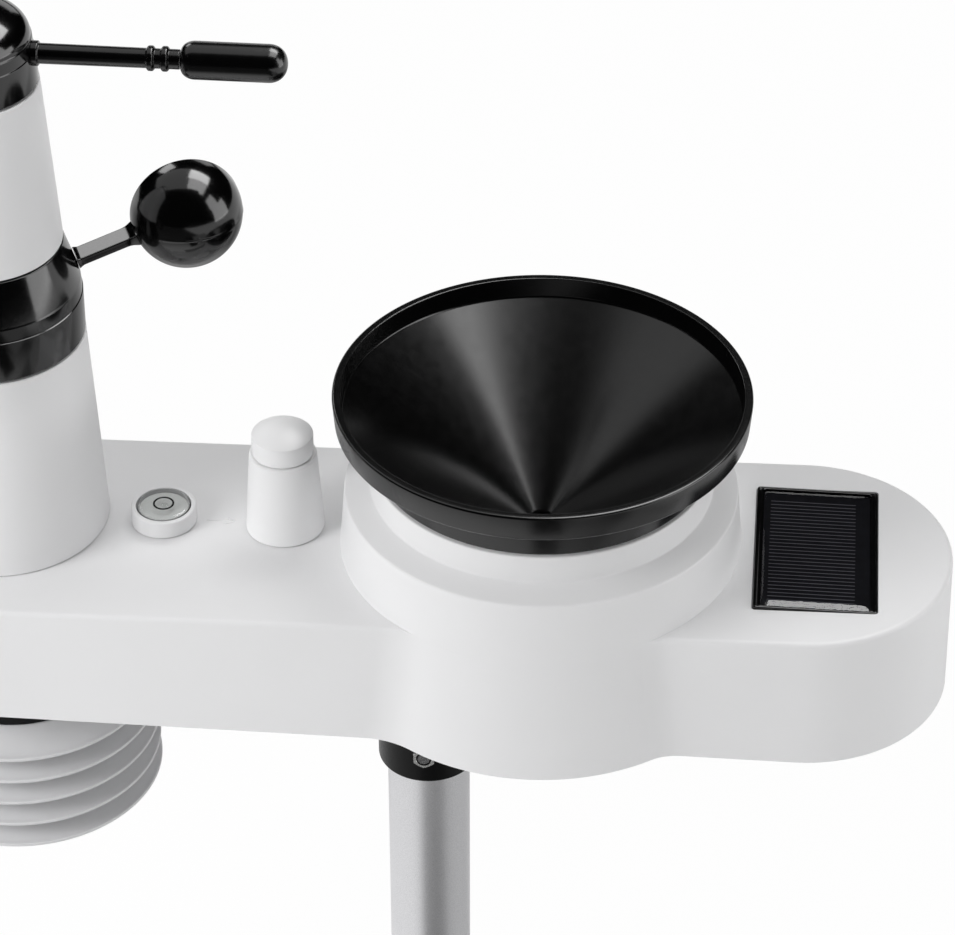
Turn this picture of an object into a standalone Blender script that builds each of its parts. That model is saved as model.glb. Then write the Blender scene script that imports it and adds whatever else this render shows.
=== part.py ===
# Home weather station on a mast: case, wind vane, wind cups, rain gauge, light sensor, solar
# panel, level and climate shield. Metres, +Z up, origin at the centre of the mast's lower end.
# The solar end is toward +X, the wind tower toward -X, and -Y is the front.
import math

import bmesh
import bpy
from mathutils import Matrix, Vector

# Fits and walls shared by several pieces
GAP = 0.0003  # between pieces that touch
PLAY = 0.0006  # round and under turning pieces
WALL = 0.0025  # moulded case
OVER = 0.004  # how far a cutter runs past what it cuts
ROOT = 0.001  # how far a joined boss runs into its wall

# Mast and socket
MAST_RADIUS = 0.0137
MAST_WALL = 0.0014
MAST_BELOW = 0.1405  # mast seen under the socket
SOCKET_WALL = 0.0027
SOCKET_HEIGHT = 0.0482
SOCKET_CAP = 0.002
FLANGE_RADIUS = 0.024
FLANGE_HEIGHT = 0.003
BOLT_RADIUS = 0.002
BOLT_HEAD_RADIUS = 0.0038
BOLT_HEAD_HEIGHT = 0.0028
BOLT_RISE = 0.0099  # above the socket's lower end
NUT_ACROSS = 0.007
NUT_HEIGHT = 0.0024

# Case
BASE_Z = MAST_BELOW + SOCKET_HEIGHT + GAP
BODY_HEIGHT = 0.0443  # at the mast
TOP_SLOPE = 0.019  # the top face climbs toward the solar end
BAR_HALF = 0.04714
BAR_SPREAD = 0.00096  # extra half-width at the base
BAR_Y = -0.0039  # mid-line of the bar
EDGE = 0.0015
TOWER_X = -0.13645
RAIN_X = 0.0367
END_X = 0.1204
LEDGE_RADIUS = 0.0623
LEDGE_HEIGHT = 0.065
TURRET_DRAFT = 0.0785
COLLAR_FOOT = 0.068
COLLAR_TOP = 0.0775
TOWER_BLEND = 0.028
SOLAR_BLEND = 0.016
END_STEPS = 10
BLEND_STEPS = 4
FRONT_STEPS = 8
HIDDEN_STEPS = 9

# Bayonet between the collar and the funnel
SEAT_RADIUS = 0.0515
COLLAR_WALL = 0.00277
COLLAR_RADIUS = SEAT_RADIUS + COLLAR_WALL
LIP_DEPTH = 0.0025
LIP_RADIUS = SEAT_RADIUS - LIP_DEPTH
LIP_HEIGHT = 0.0026
LUG_HALF = 0.008
LUG_CLEARANCE = 0.0012
LUG_REACH = SEAT_RADIUS - LUG_CLEARANCE
LUG_HEIGHT = 0.003
LUG_COUNT = 3
TWIST = math.radians(30)

# Rain funnel
RIM_RADIUS = 0.0655
RIM_TAPER = 0.0007
RIM_BAND = 0.0085
RIM_INNER = 0.0616
RIM_DEPTH = 0.0068  # flat inside wall above the cone
SKIRT_STEP = 0.00107
SKIRT_RADIUS = COLLAR_RADIUS - SKIRT_STEP
SKIRT_HEIGHT = 0.0147
FUNNEL_WALL = 0.002
SPIGOT_DROP = 0.0085
OUTLET_RADIUS = 0.0042
OUTLET_LENGTH = 0.004
CONE_SLOPE = 0.754
RIM_Z = COLLAR_TOP + GAP + SKIRT_HEIGHT + RIM_BAND  # above the case's base
RAIN_STEPS = 32

# Bottom cover
COVER = 0.004
COVER_TOP = COVER + GAP
SCREW_RADIUS = 0.0013
SCREW_HEAD = 0.003
SCREW_HEAD_HEIGHT = 0.0014
SCREW_SINK = 0.002
SCREW_LENGTH = 0.014
BOSS_RADIUS = 0.004
TOWER_SCREW = (0.036, 0.018)  # out from the tower end's centre, and either side
SOLAR_SCREW = (0.022, 0.030)
DRAIN = (0.0035, 0.012)
DRAIN_X = 0.036
STANDOFF_RADIUS = 0.0025
STANDOFF_HEIGHT = 0.006

# Batteries and their door
BAY_X = 0.118
DOOR_HALF = (0.033, 0.0185)
DOOR_LEDGE = 0.003
DOOR_TAIL = 0.010  # ledge at the door screw
DOOR = 0.002
DOOR_SINK = DOOR + 2 * GAP
DOOR_SCREW_RADIUS = 0.001
DOOR_SCREW_HEAD = 0.0024
DOOR_SCREW_LENGTH = 0.005
CELL_RADIUS = 0.0071
CELL_LENGTH = 0.050
CELL_TIP = (0.0027, 0.0012)

# Main board and reset button
BOARD = 0.0016
BOARD_X = -0.086
BOARD_HALF = (0.026, 0.023)
BOARD_INSET = 0.004
BUTTON_X = -0.071
BUTTON_Y = 0.011
BUTTON_RADIUS = 0.003
BUTTON_STAND = 0.001  # proud of the cover
BUTTON_FLANGE = 0.0042
BUTTON_TRAVEL = 0.0008

# Tipping bucket; its axle lies along Y
PIVOT_HEIGHT = 0.020
BUCKET_TILT = math.radians(14)
BUCKET_HALF = 0.030
BUCKET_WIDTH = 0.022
BUCKET_WALL = 0.0015
BUCKET_FLOOR = 0.0035
BUCKET_RISE = 0.009
BUCKET_LIP = 0.003
BUCKET_TALL = 0.022
AXLE_RADIUS = 0.0015
HUB_RADIUS = 0.004
FRAME_HALF = 0.028
FRAME_FLOOR = 0.002
UPRIGHT = 0.0025
UPRIGHT_HALF = 0.007
UPRIGHT_OVER = 0.0045
STOP_REACH = 0.024
STOP_HALF = 0.0025
REED_HALF = 0.010
REED_HEIGHT = 0.034
BUCKET_MAGNET = (0.003, 0.0025, 0.004)

# Wind tower, bottom to top
FOOT_Z = BASE_Z + BODY_HEIGHT + TOP_SLOPE * TOWER_X
TOWER_WALL = 0.002
TOWER_FOOT_RADIUS = 0.03349
TOWER_NECK_RADIUS = 0.03027
TOWER_HEIGHT = 0.0719
TOWER_HOLE = 0.018
STEM_RADIUS = 0.009
STEM_STEP = 0.001
STEM_BORE = 0.006
STEM_BELOW = 0.012
STEM_OVER = 0.0075
SHOULDER_RADIUS = 0.012
SHOULDER = 0.0015
ROTOR_Z = FOOT_Z + TOWER_HEIGHT + PLAY
ROTOR_HEIGHT = 0.0328
ROTOR_RADIUS = 0.0302
ROTOR_RIDGE = 0.0293
ROTOR_RIDGE_HEIGHT = 0.019
ROTOR_TOP_RADIUS = 0.0254
HUB_BORE = 0.0126
HUB_WALL = 0.0024
BEARING = 0.004
MAGNET_WIDTH = 0.0035
MAGNET_HEIGHT = 0.003
SPEED_BOARD_RADIUS = 0.024
UPPER_Z = ROTOR_Z + ROTOR_HEIGHT + PLAY
UPPER_HEIGHT = 0.0558
UPPER_FOOT_RADIUS = 0.02542
UPPER_TOP_RADIUS = 0.02223
CAP_Z = UPPER_Z + UPPER_HEIGHT + PLAY
TURN_STEPS = 24

# Wind cups
CUP_COUNT = 3
CUP_BEARING = math.radians(22)
CUP_REACH = 0.0648
CUP_RISE = 0.0308  # cup centre above the rotor's foot
CUP_RADIUS = 0.0175
CUP_DEPTH = 0.0170
CUP_SKIRT = 0.0030
CUP_FLARE = 0.0002
CUP_WALL = 0.0015
CUP_STEPS = 16
ARM_HALF = 0.00375
ARM_THICK = 0.0013
ARM_FLARE = 0.0007

# Wind vane
CAP_RADIUS = 0.022
CAP_RIDGE = 0.0214
CAP_RIDGE_HEIGHT = 0.0106
CAP_SHOULDER = 0.0206
CAP_SHOULDER_HEIGHT = 0.0146
CAP_HEIGHT = 0.0252
CAP_WALL = 0.0022
CAP_HUB = 0.005
SHAFT_RADIUS = 0.002
SHAFT_SEAT = 0.014
BUSH_RADIUS = 0.004
BUSH_FLANGE = 0.0065
BUSH_HEIGHT = 0.001
SENSE_GAP = 0.0026  # vane board to vane magnet
VANE_MAGNET = (0.005, 0.003)
VANE_BOARD_RADIUS = 0.012
VANE_RISE = 0.010  # arm above the cap's foot
VANE_ROD = 0.003
VANE_COLLAR = (0.0042, 0.0016)
BEAD_RADIUS = 0.0038
BEAD_HALF = 0.0012
BEAD_REACH = (0.0564, 0.0607)
WEIGHT_START = 0.0654
WEIGHT_END = 0.0971
WEIGHT_RADIUS = 0.00575
TAIL_THICK = 0.0024
TAIL_START = 0.042  # out from the axis, where the tail begins to widen
TAIL_FLARE = (0.062, 0.012)  # out from the axis, and above or below the rod
TAIL_TOP = (0.092, 0.023)
TAIL_TIP = (0.097, 0.021)
TAIL_LOW = 0.017

# Level, light sensor
LEVEL_X = -0.0847
LEVEL_RADIUS = 0.01057
LEVEL_HEIGHT = 0.0059
LEVEL_FLOOR = 0.0015
LEVEL_WALL = 0.0017
LIGHT_X = -0.0454
LIGHT_FOOT_RADIUS = 0.01265
LIGHT_TOP_RADIUS = 0.01075
LIGHT_HEIGHT = 0.0286
LIGHT_BORE = 0.0086
LIGHT_LEDGE = 0.0230
LIGHT_WALL = 0.002
DOME_RADIUS = 0.0098
DOME_HEIGHT = 0.0098
DOME_SIDE = 0.0068
DOME_WALL = 0.0013
DOME_SPIGOT = 0.0034

# Solar panel, sunk and tilted against the top face
SOLAR_X = 0.12436
SOLAR_Y = -0.0027
SOLAR_HALF = (0.01965, 0.0316)
SOLAR_LIFT = 0.0005  # above the top face at its middle
SOLAR_TILT = 0.006
SOLAR_BORDER = 0.002
TRAY_DEPTH = 0.0034
TRAY_FLOOR = 0.001
CELL_SHEET = 0.0007
PAD_BORDER = 0.003
PAD_FLOOR = 0.0025

# Climate shield under the tower end
SHIELD_COUNT = 5
SHIELD_PITCH = 0.00922
SHIELD_FIRST = -0.0254  # first lip, from the case's base
SHIELD_RADIUS = 0.04516
SHIELD_NECK = 0.0335
SHIELD_BORE = 0.020
SHIELD_RISE = 0.0056  # neck of a plate above its lip
SHIELD_SKIN = 0.0016
SHIELD_STEPS = 22
ROD_CIRCLE = 0.0270
ROD_RADIUS = 0.0016
ROD_HEAD = (0.003, 0.002)
ROD_BITE = 0.011
ROD_BOSS = 0.0034
CLIMATE_HALF = 0.007
CLIMATE_LENGTH = 0.046


def material(name, colour, roughness, metallic=0.0):
    made = bpy.data.materials.new(name)
    made.use_nodes = True
    shader = made.node_tree.nodes["Principled BSDF"]
    shader.inputs["Base Color"].default_value = (*colour, 1)
    shader.inputs["Roughness"].default_value = roughness
    shader.inputs["Metallic"].default_value = metallic
    return made


def axis_frame(name, location, turn=(0, 0, 0)):
    empty = bpy.data.objects.new(name, None)
    empty.location = location
    empty.rotation_euler = turn
    bpy.context.scene.collection.objects.link(empty)
    return empty


def piece(name, form, finish, parent):
    bmesh.ops.recalc_face_normals(form, faces=form.faces)
    mesh = bpy.data.meshes.new(name)
    form.to_mesh(mesh)
    form.free()
    if finish:
        mesh.materials.append(finish)
    made = bpy.data.objects.new(name, mesh)
    made.parent = parent
    bpy.context.scene.collection.objects.link(made)
    return made


def combine(target, form, label, operation):
    tool = piece(f"{target.name}_{label}", form, None, target.parent)
    tool.hide_render = True
    tool.display_type = "WIRE"
    step = target.modifiers.new(label, "BOOLEAN")
    step.operation = operation
    step.solver = "EXACT"
    step.object = tool


def cut(target, form, label="cuts"):
    combine(target, form, label, "DIFFERENCE")


def join(target, form, label="additions"):
    combine(target, form, label, "UNION")


def wall(form, lower, upper):
    for i in range(len(lower)):
        j = (i + 1) % len(lower)
        form.faces.new((lower[i], lower[j], upper[j], upper[i]))


def add_turned(form, profile, steps, place=Matrix(), shear=0.0):
    # Turns a closed (radius, height) profile round the local Z axis. With shear, the points at
    # height 0 follow the sloping top face of the case.
    rings = []
    for radius, height in profile:
        ring = []
        for i in range(steps if radius > 0 else 1):
            turn = math.tau * i / steps
            x = radius * math.cos(turn)
            rise = shear * x if height == 0 else 0
            ring.append(form.verts.new(place @ Vector((x, radius * math.sin(turn), height + rise))))
        rings.append(ring)
    for near, far in zip(rings, rings[1:] + rings[:1]):
        for i in range(steps):
            corners = []
            for ring, k in ((near, i), (near, i + 1), (far, i + 1), (far, i)):
                corner = ring[k % len(ring)]
                if corner not in corners:
                    corners.append(corner)
            if len(corners) > 2:
                form.faces.new(corners)


def add_prism(form, outline, low, high, place=Matrix()):
    lower = [form.verts.new(place @ Vector((x, y, low))) for x, y in outline]
    upper = [form.verts.new(place @ Vector((x, y, high))) for x, y in outline]
    wall(form, lower, upper)
    form.faces.new(lower[::-1])
    form.faces.new(upper)


def add_block(form, low, high, place=Matrix()):
    outline = [(low[0], low[1]), (high[0], low[1]), (high[0], high[1]), (low[0], high[1])]
    add_prism(form, outline, low[2], high[2], place)


def add_rod(form, radius, low, high, steps=16, place=Matrix()):
    add_turned(form, [(0, low), (radius, low), (radius, high), (0, high)], steps, place)


def add_sunk_hole(form, head, shank, sink, end, place):
    # Cutter for a screw: a recess for the head, then the shank's hole.
    head, shank = head + GAP, shank + GAP
    profile = [(0, -OVER), (head, -OVER), (head, sink), (shank, sink), (shank, end), (0, end)]
    add_turned(form, profile, 12, place)


def add_tube(form, inner, outer, low, high, steps=24):
    add_turned(form, [(inner, low), (outer, low), (outer, high), (inner, high)], steps)


def turned(name, profile, finish, parent, steps=TURN_STEPS, shear=0.0):
    form = bmesh.new()
    add_turned(form, profile, steps, shear=shear)
    return piece(name, form, finish, parent)


def tube(name, inner, outer, low, high, finish, parent, steps=24):
    form = bmesh.new()
    add_tube(form, inner, outer, low, high, steps)
    return piece(name, form, finish, parent)


def disc(name, radius, low, high, finish, parent, steps=24):
    form = bmesh.new()
    add_rod(form, radius, low, high, steps)
    return piece(name, form, finish, parent)


def block(name, low, high, finish, parent):
    form = bmesh.new()
    add_block(form, low, high)
    return piece(name, form, finish, parent)


def at(x, y, z=0.0):
    return Matrix.Translation((x, y, z))


def around(turn):
    return Matrix.Rotation(turn, 4, "Z")


def along_y():
    return Matrix.Rotation(-math.pi / 2, 4, "X")


def along_x():
    return Matrix.Rotation(math.pi / 2, 4, "Y")


def arc(x, y, radius, start, end, steps):
    turns = [start + (end - start) * i / steps for i in range(steps + 1)]
    return [(x + radius * math.cos(turn), y + radius * math.sin(turn)) for turn in turns]


def turret_radius(height):
    return LEDGE_RADIUS + TURRET_DRAFT * (LEDGE_HEIGHT - height)


def blend(edge, radius, fillet, side):
    # Concave corner from the bar's edge, at y = edge, onto the turret.
    out = math.copysign(fillet, edge)
    y = edge + out
    x = side * math.sqrt((radius + fillet) ** 2 - y**2)
    start = -math.copysign(math.pi / 2, edge)
    sweep = math.remainder(math.atan2(-y, -x) - start, math.tau)
    return arc(RAIN_X + x, y, fillet, start, start + sweep, BLEND_STEPS)


def turret_run(first, last, radius, steps):
    start = math.atan2(first[1], first[0] - RAIN_X)
    sweep = (math.atan2(last[1], last[0] - RAIN_X) - start) % math.tau
    return arc(RAIN_X, 0, radius, start, start + sweep, steps)[1:-1]


def plan(half, radius):
    # The case seen from above, anticlockwise, as four runs: tower side, turret front,
    # solar side, turret back.
    front, back = BAR_Y - half, BAR_Y + half
    tower_side = blend(back, radius, TOWER_BLEND, -1)[::-1]
    tower_side += arc(TOWER_X, BAR_Y, half, math.pi / 2, 1.5 * math.pi, END_STEPS)
    tower_side += blend(front, radius, TOWER_BLEND, -1)
    solar_side = blend(front, radius, SOLAR_BLEND, 1)[::-1]
    solar_side += arc(END_X, BAR_Y, half, -math.pi / 2, math.pi / 2, END_STEPS)
    solar_side += blend(back, radius, SOLAR_BLEND, 1)
    turret_front = turret_run(tower_side[-1], solar_side[0], radius, FRONT_STEPS)
    turret_back = turret_run(solar_side[-1], tower_side[0], radius, FRONT_STEPS)
    return tower_side, turret_front, solar_side, turret_back


def section(height, inset):
    # The case's plan at a height above its base, drawn in by inset.
    half = BAR_HALF + BAR_SPREAD * (1 - height / BODY_HEIGHT)
    return plan(half - inset, turret_radius(height) - inset)


def case_form(inset, drop, rings):
    # The closed case, drawn in by inset; rings are the turret's (radius, height) steps above
    # the top face.
    form = bmesh.new()
    top = BODY_HEIGHT - inset
    radius = turret_radius(top - EDGE) - inset

    def lay(points, height, slope):
        return [form.verts.new((x, y, height + slope * x)) for x, y in points]

    top_plan = plan(BAR_HALF - inset - EDGE, radius)
    base = [lay(run, -drop, 0) for run in section(-drop, inset)]
    edge = [lay(run, top - EDGE, TOP_SLOPE) for run in section(top - EDGE, inset)]
    face = [lay(run, top, TOP_SLOPE) for run in top_plan]
    wall(form, sum(base, []), sum(edge, []))
    wall(form, sum(edge, []), sum(face, []))
    form.faces.new(sum(base, [])[::-1])
    behind = []
    for side in (0, 2):
        run = turret_run(top_plan[side][0], top_plan[side][-1], radius, HIDDEN_STEPS)
        behind.append(lay(run, top, TOP_SLOPE))
        form.faces.new(face[side] + behind[-1][::-1])
    circle = [face[0][-1], *face[1], face[2][0], *behind[1]]
    circle += [face[2][-1], *face[3], face[0][0], *behind[0]]
    for ring_radius, height in rings:
        scale = [ring_radius / math.hypot(v.co.x - RAIN_X, v.co.y) for v in circle]
        points = [(RAIN_X + (v.co.x - RAIN_X) * s, v.co.y * s) for v, s in zip(circle, scale)]
        ring = lay(points, height, 0)
        wall(form, circle, ring)
        circle = ring
    form.faces.new(circle)
    return form


def cover_screws():
    for side in (-1, 1):
        yield TOWER_X - TOWER_SCREW[0], BAR_Y + side * TOWER_SCREW[1]
        yield END_X + SOLAR_SCREW[0], BAR_Y + side * SOLAR_SCREW[1]


def lug_places(offset):
    for i in range(LUG_COUNT):
        yield around(math.tau * i / LUG_COUNT + offset)


def solar_place():
    rise = BODY_HEIGHT + TOP_SLOPE * SOLAR_X + SOLAR_LIFT
    return at(SOLAR_X, SOLAR_Y, rise) @ Matrix.Rotation(SOLAR_TILT, 4, "Y")


def upper_case(frame, white):
    outer = [(LEDGE_RADIUS, LEDGE_HEIGHT), (COLLAR_RADIUS, COLLAR_FOOT), (COLLAR_RADIUS, COLLAR_TOP)]
    inner = [
        (LEDGE_RADIUS - WALL, LEDGE_HEIGHT - WALL),
        (SEAT_RADIUS, COLLAR_FOOT - WALL),
        (SEAT_RADIUS, COLLAR_TOP - LIP_HEIGHT),
        (LIP_RADIUS, COLLAR_TOP - LIP_HEIGHT),
        (LIP_RADIUS, COLLAR_TOP + OVER),
    ]
    case = piece("upper_case", case_form(0, 0, outer), white, frame)
    cut(case, case_form(WALL, OVER, inner), "hollow")
    extra = bmesh.new()
    half_x, half_y = SOLAR_HALF[0] + PAD_BORDER, SOLAR_HALF[1] + PAD_BORDER
    floor = -TRAY_DEPTH - GAP - PAD_FLOOR
    top = -SOLAR_LIFT - WALL / 2
    add_block(extra, (-half_x, -half_y, floor), (half_x, half_y, top), solar_place())
    join(case, extra, "solar_pad")
    bosses = bmesh.new()
    for x, y in cover_screws():
        add_rod(bosses, BOSS_RADIUS, COVER_TOP, BODY_HEIGHT + TOP_SLOPE * x - WALL + ROOT, 12, at(x, y))
    join(case, bosses, "bosses")
    holes = bmesh.new()
    for x, y in cover_screws():
        add_rod(holes, SCREW_RADIUS + GAP, -OVER, SCREW_SINK + SCREW_LENGTH, 12, at(x, y))
    low = (-SOLAR_HALF[0], -SOLAR_HALF[1], -TRAY_DEPTH - GAP)
    add_block(holes, low, (SOLAR_HALF[0], SOLAR_HALF[1], OVER), solar_place())
    add_rod(holes, TOWER_HOLE, BODY_HEIGHT / 2, BODY_HEIGHT + OVER, 20, at(TOWER_X, 0))
    for place in lug_places(TWIST):
        low = (LIP_RADIUS - OVER, -LUG_HALF - ROOT, COLLAR_TOP - LIP_HEIGHT - ROOT)
        high = (LUG_REACH + ROOT, LUG_HALF + ROOT, COLLAR_TOP + OVER)
        add_block(holes, low, high, at(RAIN_X, 0) @ place)
    cut(case, holes)


def bottom_cover(frame, white, steel):
    form = bmesh.new()
    lower, upper = (
        [form.verts.new((x, y, height)) for x, y in sum(section(height, WALL + GAP), [])]
        for height in (0, COVER)
    )
    wall(form, lower, upper)
    form.faces.new(lower[::-1])
    form.faces.new(upper)
    cover = piece("bottom_cover", form, white, frame)
    posts = bmesh.new()
    for x, y in standoffs():
        add_rod(posts, STANDOFF_RADIUS, COVER - ROOT, COVER + STANDOFF_HEIGHT, 12, at(x, y))
    join(cover, posts)
    recess = bmesh.new()
    bay_x, bay_y = DOOR_HALF[0] + GAP, DOOR_HALF[1] + GAP
    add_block(recess, (-bay_x, -bay_y, -OVER), (bay_x, bay_y, DOOR_SINK), at(BAY_X, BAR_Y))
    cut(cover, recess, "door_recess")
    holes = bmesh.new()
    for x, y in cover_screws():
        add_sunk_hole(holes, SCREW_HEAD, SCREW_RADIUS, SCREW_SINK, COVER + OVER, at(x, y))
    low = (DOOR_LEDGE - bay_x, DOOR_LEDGE - bay_y, 0)
    high = (bay_x - DOOR_TAIL, bay_y - DOOR_LEDGE, COVER + OVER)
    add_block(holes, low, high, at(BAY_X, BAR_Y))
    add_rod(holes, DOOR_SCREW_RADIUS + GAP, 0, COVER + OVER, 12, door_screw_place())
    for side in (-1, 1):
        low = (-DRAIN[0], -DRAIN[1], -OVER)
        add_block(holes, low, (DRAIN[0], DRAIN[1], COVER + OVER), at(RAIN_X + side * DRAIN_X, 0))
    add_rod(holes, BUTTON_RADIUS + GAP, -OVER, COVER + OVER, 16, at(BUTTON_X, BUTTON_Y))
    cut(cover, holes)
    head_low = SCREW_SINK - GAP - SCREW_HEAD_HEIGHT
    for i, (x, y) in enumerate(cover_screws()):
        screw = bmesh.new()
        profile = [
            (0, head_low),
            (SCREW_HEAD, head_low),
            (SCREW_HEAD, SCREW_SINK - GAP),
            (SCREW_RADIUS, SCREW_SINK - GAP),
            (SCREW_RADIUS, SCREW_SINK + SCREW_LENGTH - GAP),
            (0, SCREW_SINK + SCREW_LENGTH - GAP),
        ]
        add_turned(screw, profile, 10, at(x, y))
        piece(f"cover_screw_{i + 1}", screw, steel, frame)


def door_screw_place():
    return at(BAY_X + DOOR_HALF[0] - DOOR_TAIL / 2, BAR_Y)


def battery_bay(frame, white, steel, wrap):
    half_x, half_y = DOOR_HALF
    form = bmesh.new()
    add_block(form, (-half_x, -half_y, GAP), (half_x, half_y, GAP + DOOR), at(BAY_X, BAR_Y))
    door = piece("battery_door", form, white, frame)
    hole = bmesh.new()
    sink = GAP + DOOR / 2
    add_sunk_hole(hole, DOOR_SCREW_HEAD, DOOR_SCREW_RADIUS, sink, DOOR + OVER, door_screw_place())
    cut(door, hole, "screw_hole")
    screw = bmesh.new()
    profile = [
        (0, GAP),
        (DOOR_SCREW_HEAD, GAP),
        (DOOR_SCREW_HEAD, DOOR / 2),
        (DOOR_SCREW_RADIUS, DOOR / 2),
        (DOOR_SCREW_RADIUS, DOOR / 2 + DOOR_SCREW_LENGTH),
        (0, DOOR / 2 + DOOR_SCREW_LENGTH),
    ]
    add_turned(screw, profile, 12, door_screw_place())
    piece("battery_door_screw", screw, steel, frame)
    middle = BAY_X - (DOOR_TAIL - DOOR_LEDGE) / 2
    for i, side in enumerate((-1, 1)):
        body = CELL_LENGTH - CELL_TIP[1]
        profile = [(0, 0), (CELL_RADIUS, 0), (CELL_RADIUS, body), (CELL_TIP[0], body)]
        profile += [(CELL_TIP[0], CELL_LENGTH), (0, CELL_LENGTH)]
        height = 2 * GAP + DOOR + CELL_RADIUS
        place = at(middle, BAR_Y + side * (CELL_RADIUS + GAP), height)
        turn = along_x() @ at(0, 0, -CELL_LENGTH / 2)
        cell = bmesh.new()
        add_turned(cell, profile, 14, place @ around((side + 1) * math.pi / 2) @ turn)
        piece(f"battery_{i + 1}", cell, wrap, frame)


def standoffs():
    for side_x in (-1, 1):
        for side_y in (-1, 1):
            x = BOARD_X + side_x * (BOARD_HALF[0] - BOARD_INSET)
            yield x, BAR_Y + side_y * (BOARD_HALF[1] - BOARD_INSET)


def main_board(frame, green, black):
    low = COVER + STANDOFF_HEIGHT + GAP
    half_x, half_y = BOARD_HALF
    form = bmesh.new()
    add_block(form, (-half_x, -half_y, low), (half_x, half_y, low + BOARD), at(BOARD_X, BAR_Y))
    piece("main_board", form, green, frame)
    stalk_top = low - BUTTON_TRAVEL - GAP
    profile = [
        (0, -BUTTON_STAND),
        (BUTTON_RADIUS, -BUTTON_STAND),
        (BUTTON_RADIUS, COVER_TOP),
        (BUTTON_FLANGE, COVER_TOP),
        (BUTTON_FLANGE, COVER_TOP + ROOT),
        (BUTTON_RADIUS, COVER_TOP + ROOT),
        (BUTTON_RADIUS, stalk_top),
        (0, stalk_top),
    ]
    axis = axis_frame("reset_axis", (BUTTON_X, BUTTON_Y, BASE_Z))
    turned("reset_button", profile, black, axis, 16)


def mast(station, black, silver, steel):
    top = MAST_BELOW + SOCKET_HEIGHT
    inner, outer = MAST_RADIUS + GAP, MAST_RADIUS + GAP + SOCKET_WALL
    middle = MAST_BELOW + BOLT_RISE
    profile = [
        (0, top - SOCKET_CAP),
        (inner, top - SOCKET_CAP),
        (inner, MAST_BELOW),
        (outer, MAST_BELOW),
        (outer, top - FLANGE_HEIGHT),
        (FLANGE_RADIUS, top - FLANGE_HEIGHT),
        (FLANGE_RADIUS, top),
        (0, top),
    ]
    socket = turned("mast_socket", profile, black, station, 20)
    end = top - SOCKET_CAP - GAP
    post = tube("mast_tube", MAST_RADIUS - MAST_WALL, MAST_RADIUS, 0, end, silver, station, 20)
    across = at(0, 0, middle) @ along_y()
    bore = bmesh.new()
    add_rod(bore, BOLT_RADIUS + GAP, -outer - OVER, outer + OVER, 12, across)
    cut(post, bore, "cross_hole")
    corner = NUT_ACROSS / math.sqrt(3)
    passages = bmesh.new()
    add_rod(passages, BOLT_RADIUS + GAP, 0, outer + OVER, 12, across)
    add_rod(passages, corner + 2 * GAP, -outer - OVER, -OVER, 6, across)
    cut(socket, passages, "bolt_holes")
    nut = bmesh.new()
    face = -inner - GAP
    add_turned(nut, [
        (BOLT_RADIUS + GAP, face - NUT_HEIGHT),
        (corner, face - NUT_HEIGHT),
        (corner, face),
        (BOLT_RADIUS + GAP, face),
    ], 6, across)
    piece("mast_nut", nut, steel, station)
    bolt = bmesh.new()
    seat = outer + GAP
    add_turned(bolt, [
        (0, face - NUT_HEIGHT),
        (BOLT_RADIUS, face - NUT_HEIGHT),
        (BOLT_RADIUS, seat),
        (BOLT_HEAD_RADIUS, seat),
        (BOLT_HEAD_RADIUS, seat + BOLT_HEAD_HEIGHT),
        (0, seat + BOLT_HEAD_HEIGHT),
    ], 12, across)
    piece("mast_bolt", bolt, steel, station)


def rain_funnel(black):
    axis = axis_frame("funnel_axis", (RAIN_X, 0, BASE_Z))
    seat = COLLAR_TOP + GAP
    spigot = LIP_RADIUS - PLAY
    cone_top = RIM_Z - RIM_DEPTH
    skin = FUNNEL_WALL * math.hypot(1, CONE_SLOPE)

    def cone(radius):
        return cone_top - CONE_SLOPE * (RIM_INNER - radius)

    inside = SKIRT_RADIUS - FUNNEL_WALL
    neck = OUTLET_RADIUS + FUNNEL_WALL
    outlet = cone(OUTLET_RADIUS) - OUTLET_LENGTH
    profile = [
        (RIM_RADIUS, RIM_Z),
        (RIM_INNER, RIM_Z),
        (RIM_INNER, cone_top),
        (OUTLET_RADIUS, cone(OUTLET_RADIUS)),
        (OUTLET_RADIUS, outlet),
        (neck, outlet),
        (neck, cone(neck) - skin),
        (inside, cone(inside) - skin),
        (inside, seat + FUNNEL_WALL),
        (spigot - FUNNEL_WALL, seat + FUNNEL_WALL),
        (spigot - FUNNEL_WALL, seat - SPIGOT_DROP),
        (spigot, seat - SPIGOT_DROP),
        (spigot, seat),
        (SKIRT_RADIUS, seat),
        (SKIRT_RADIUS, cone(SKIRT_RADIUS) - skin),
        (RIM_INNER, cone_top - skin),
        (RIM_RADIUS - RIM_TAPER, RIM_Z - RIM_BAND),
    ]
    funnel = turned("rain_funnel", profile, black, axis, RAIN_STEPS)
    lugs = bmesh.new()
    high = COLLAR_TOP - LIP_HEIGHT - GAP
    for place in lug_places(0):
        low = (spigot - FUNNEL_WALL + ROOT, -LUG_HALF, high - LUG_HEIGHT)
        add_block(lugs, low, (LUG_REACH, LUG_HALF, high), place)
    join(funnel, lugs, "lugs")


def bucket_outline(inset, side):
    # One half of the bucket seen from the front; the scoop is the same outline drawn in.
    start = inset / 2
    floor = BUCKET_FLOOR + inset
    end = BUCKET_HALF + inset
    rise = BUCKET_RISE * end / BUCKET_HALF
    lip = floor + rise + BUCKET_LIP
    points = [(side * start, floor), (side * end, floor + rise), (side * end, lip + inset)]
    return points + [(side * start, BUCKET_TALL + inset)]


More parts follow.
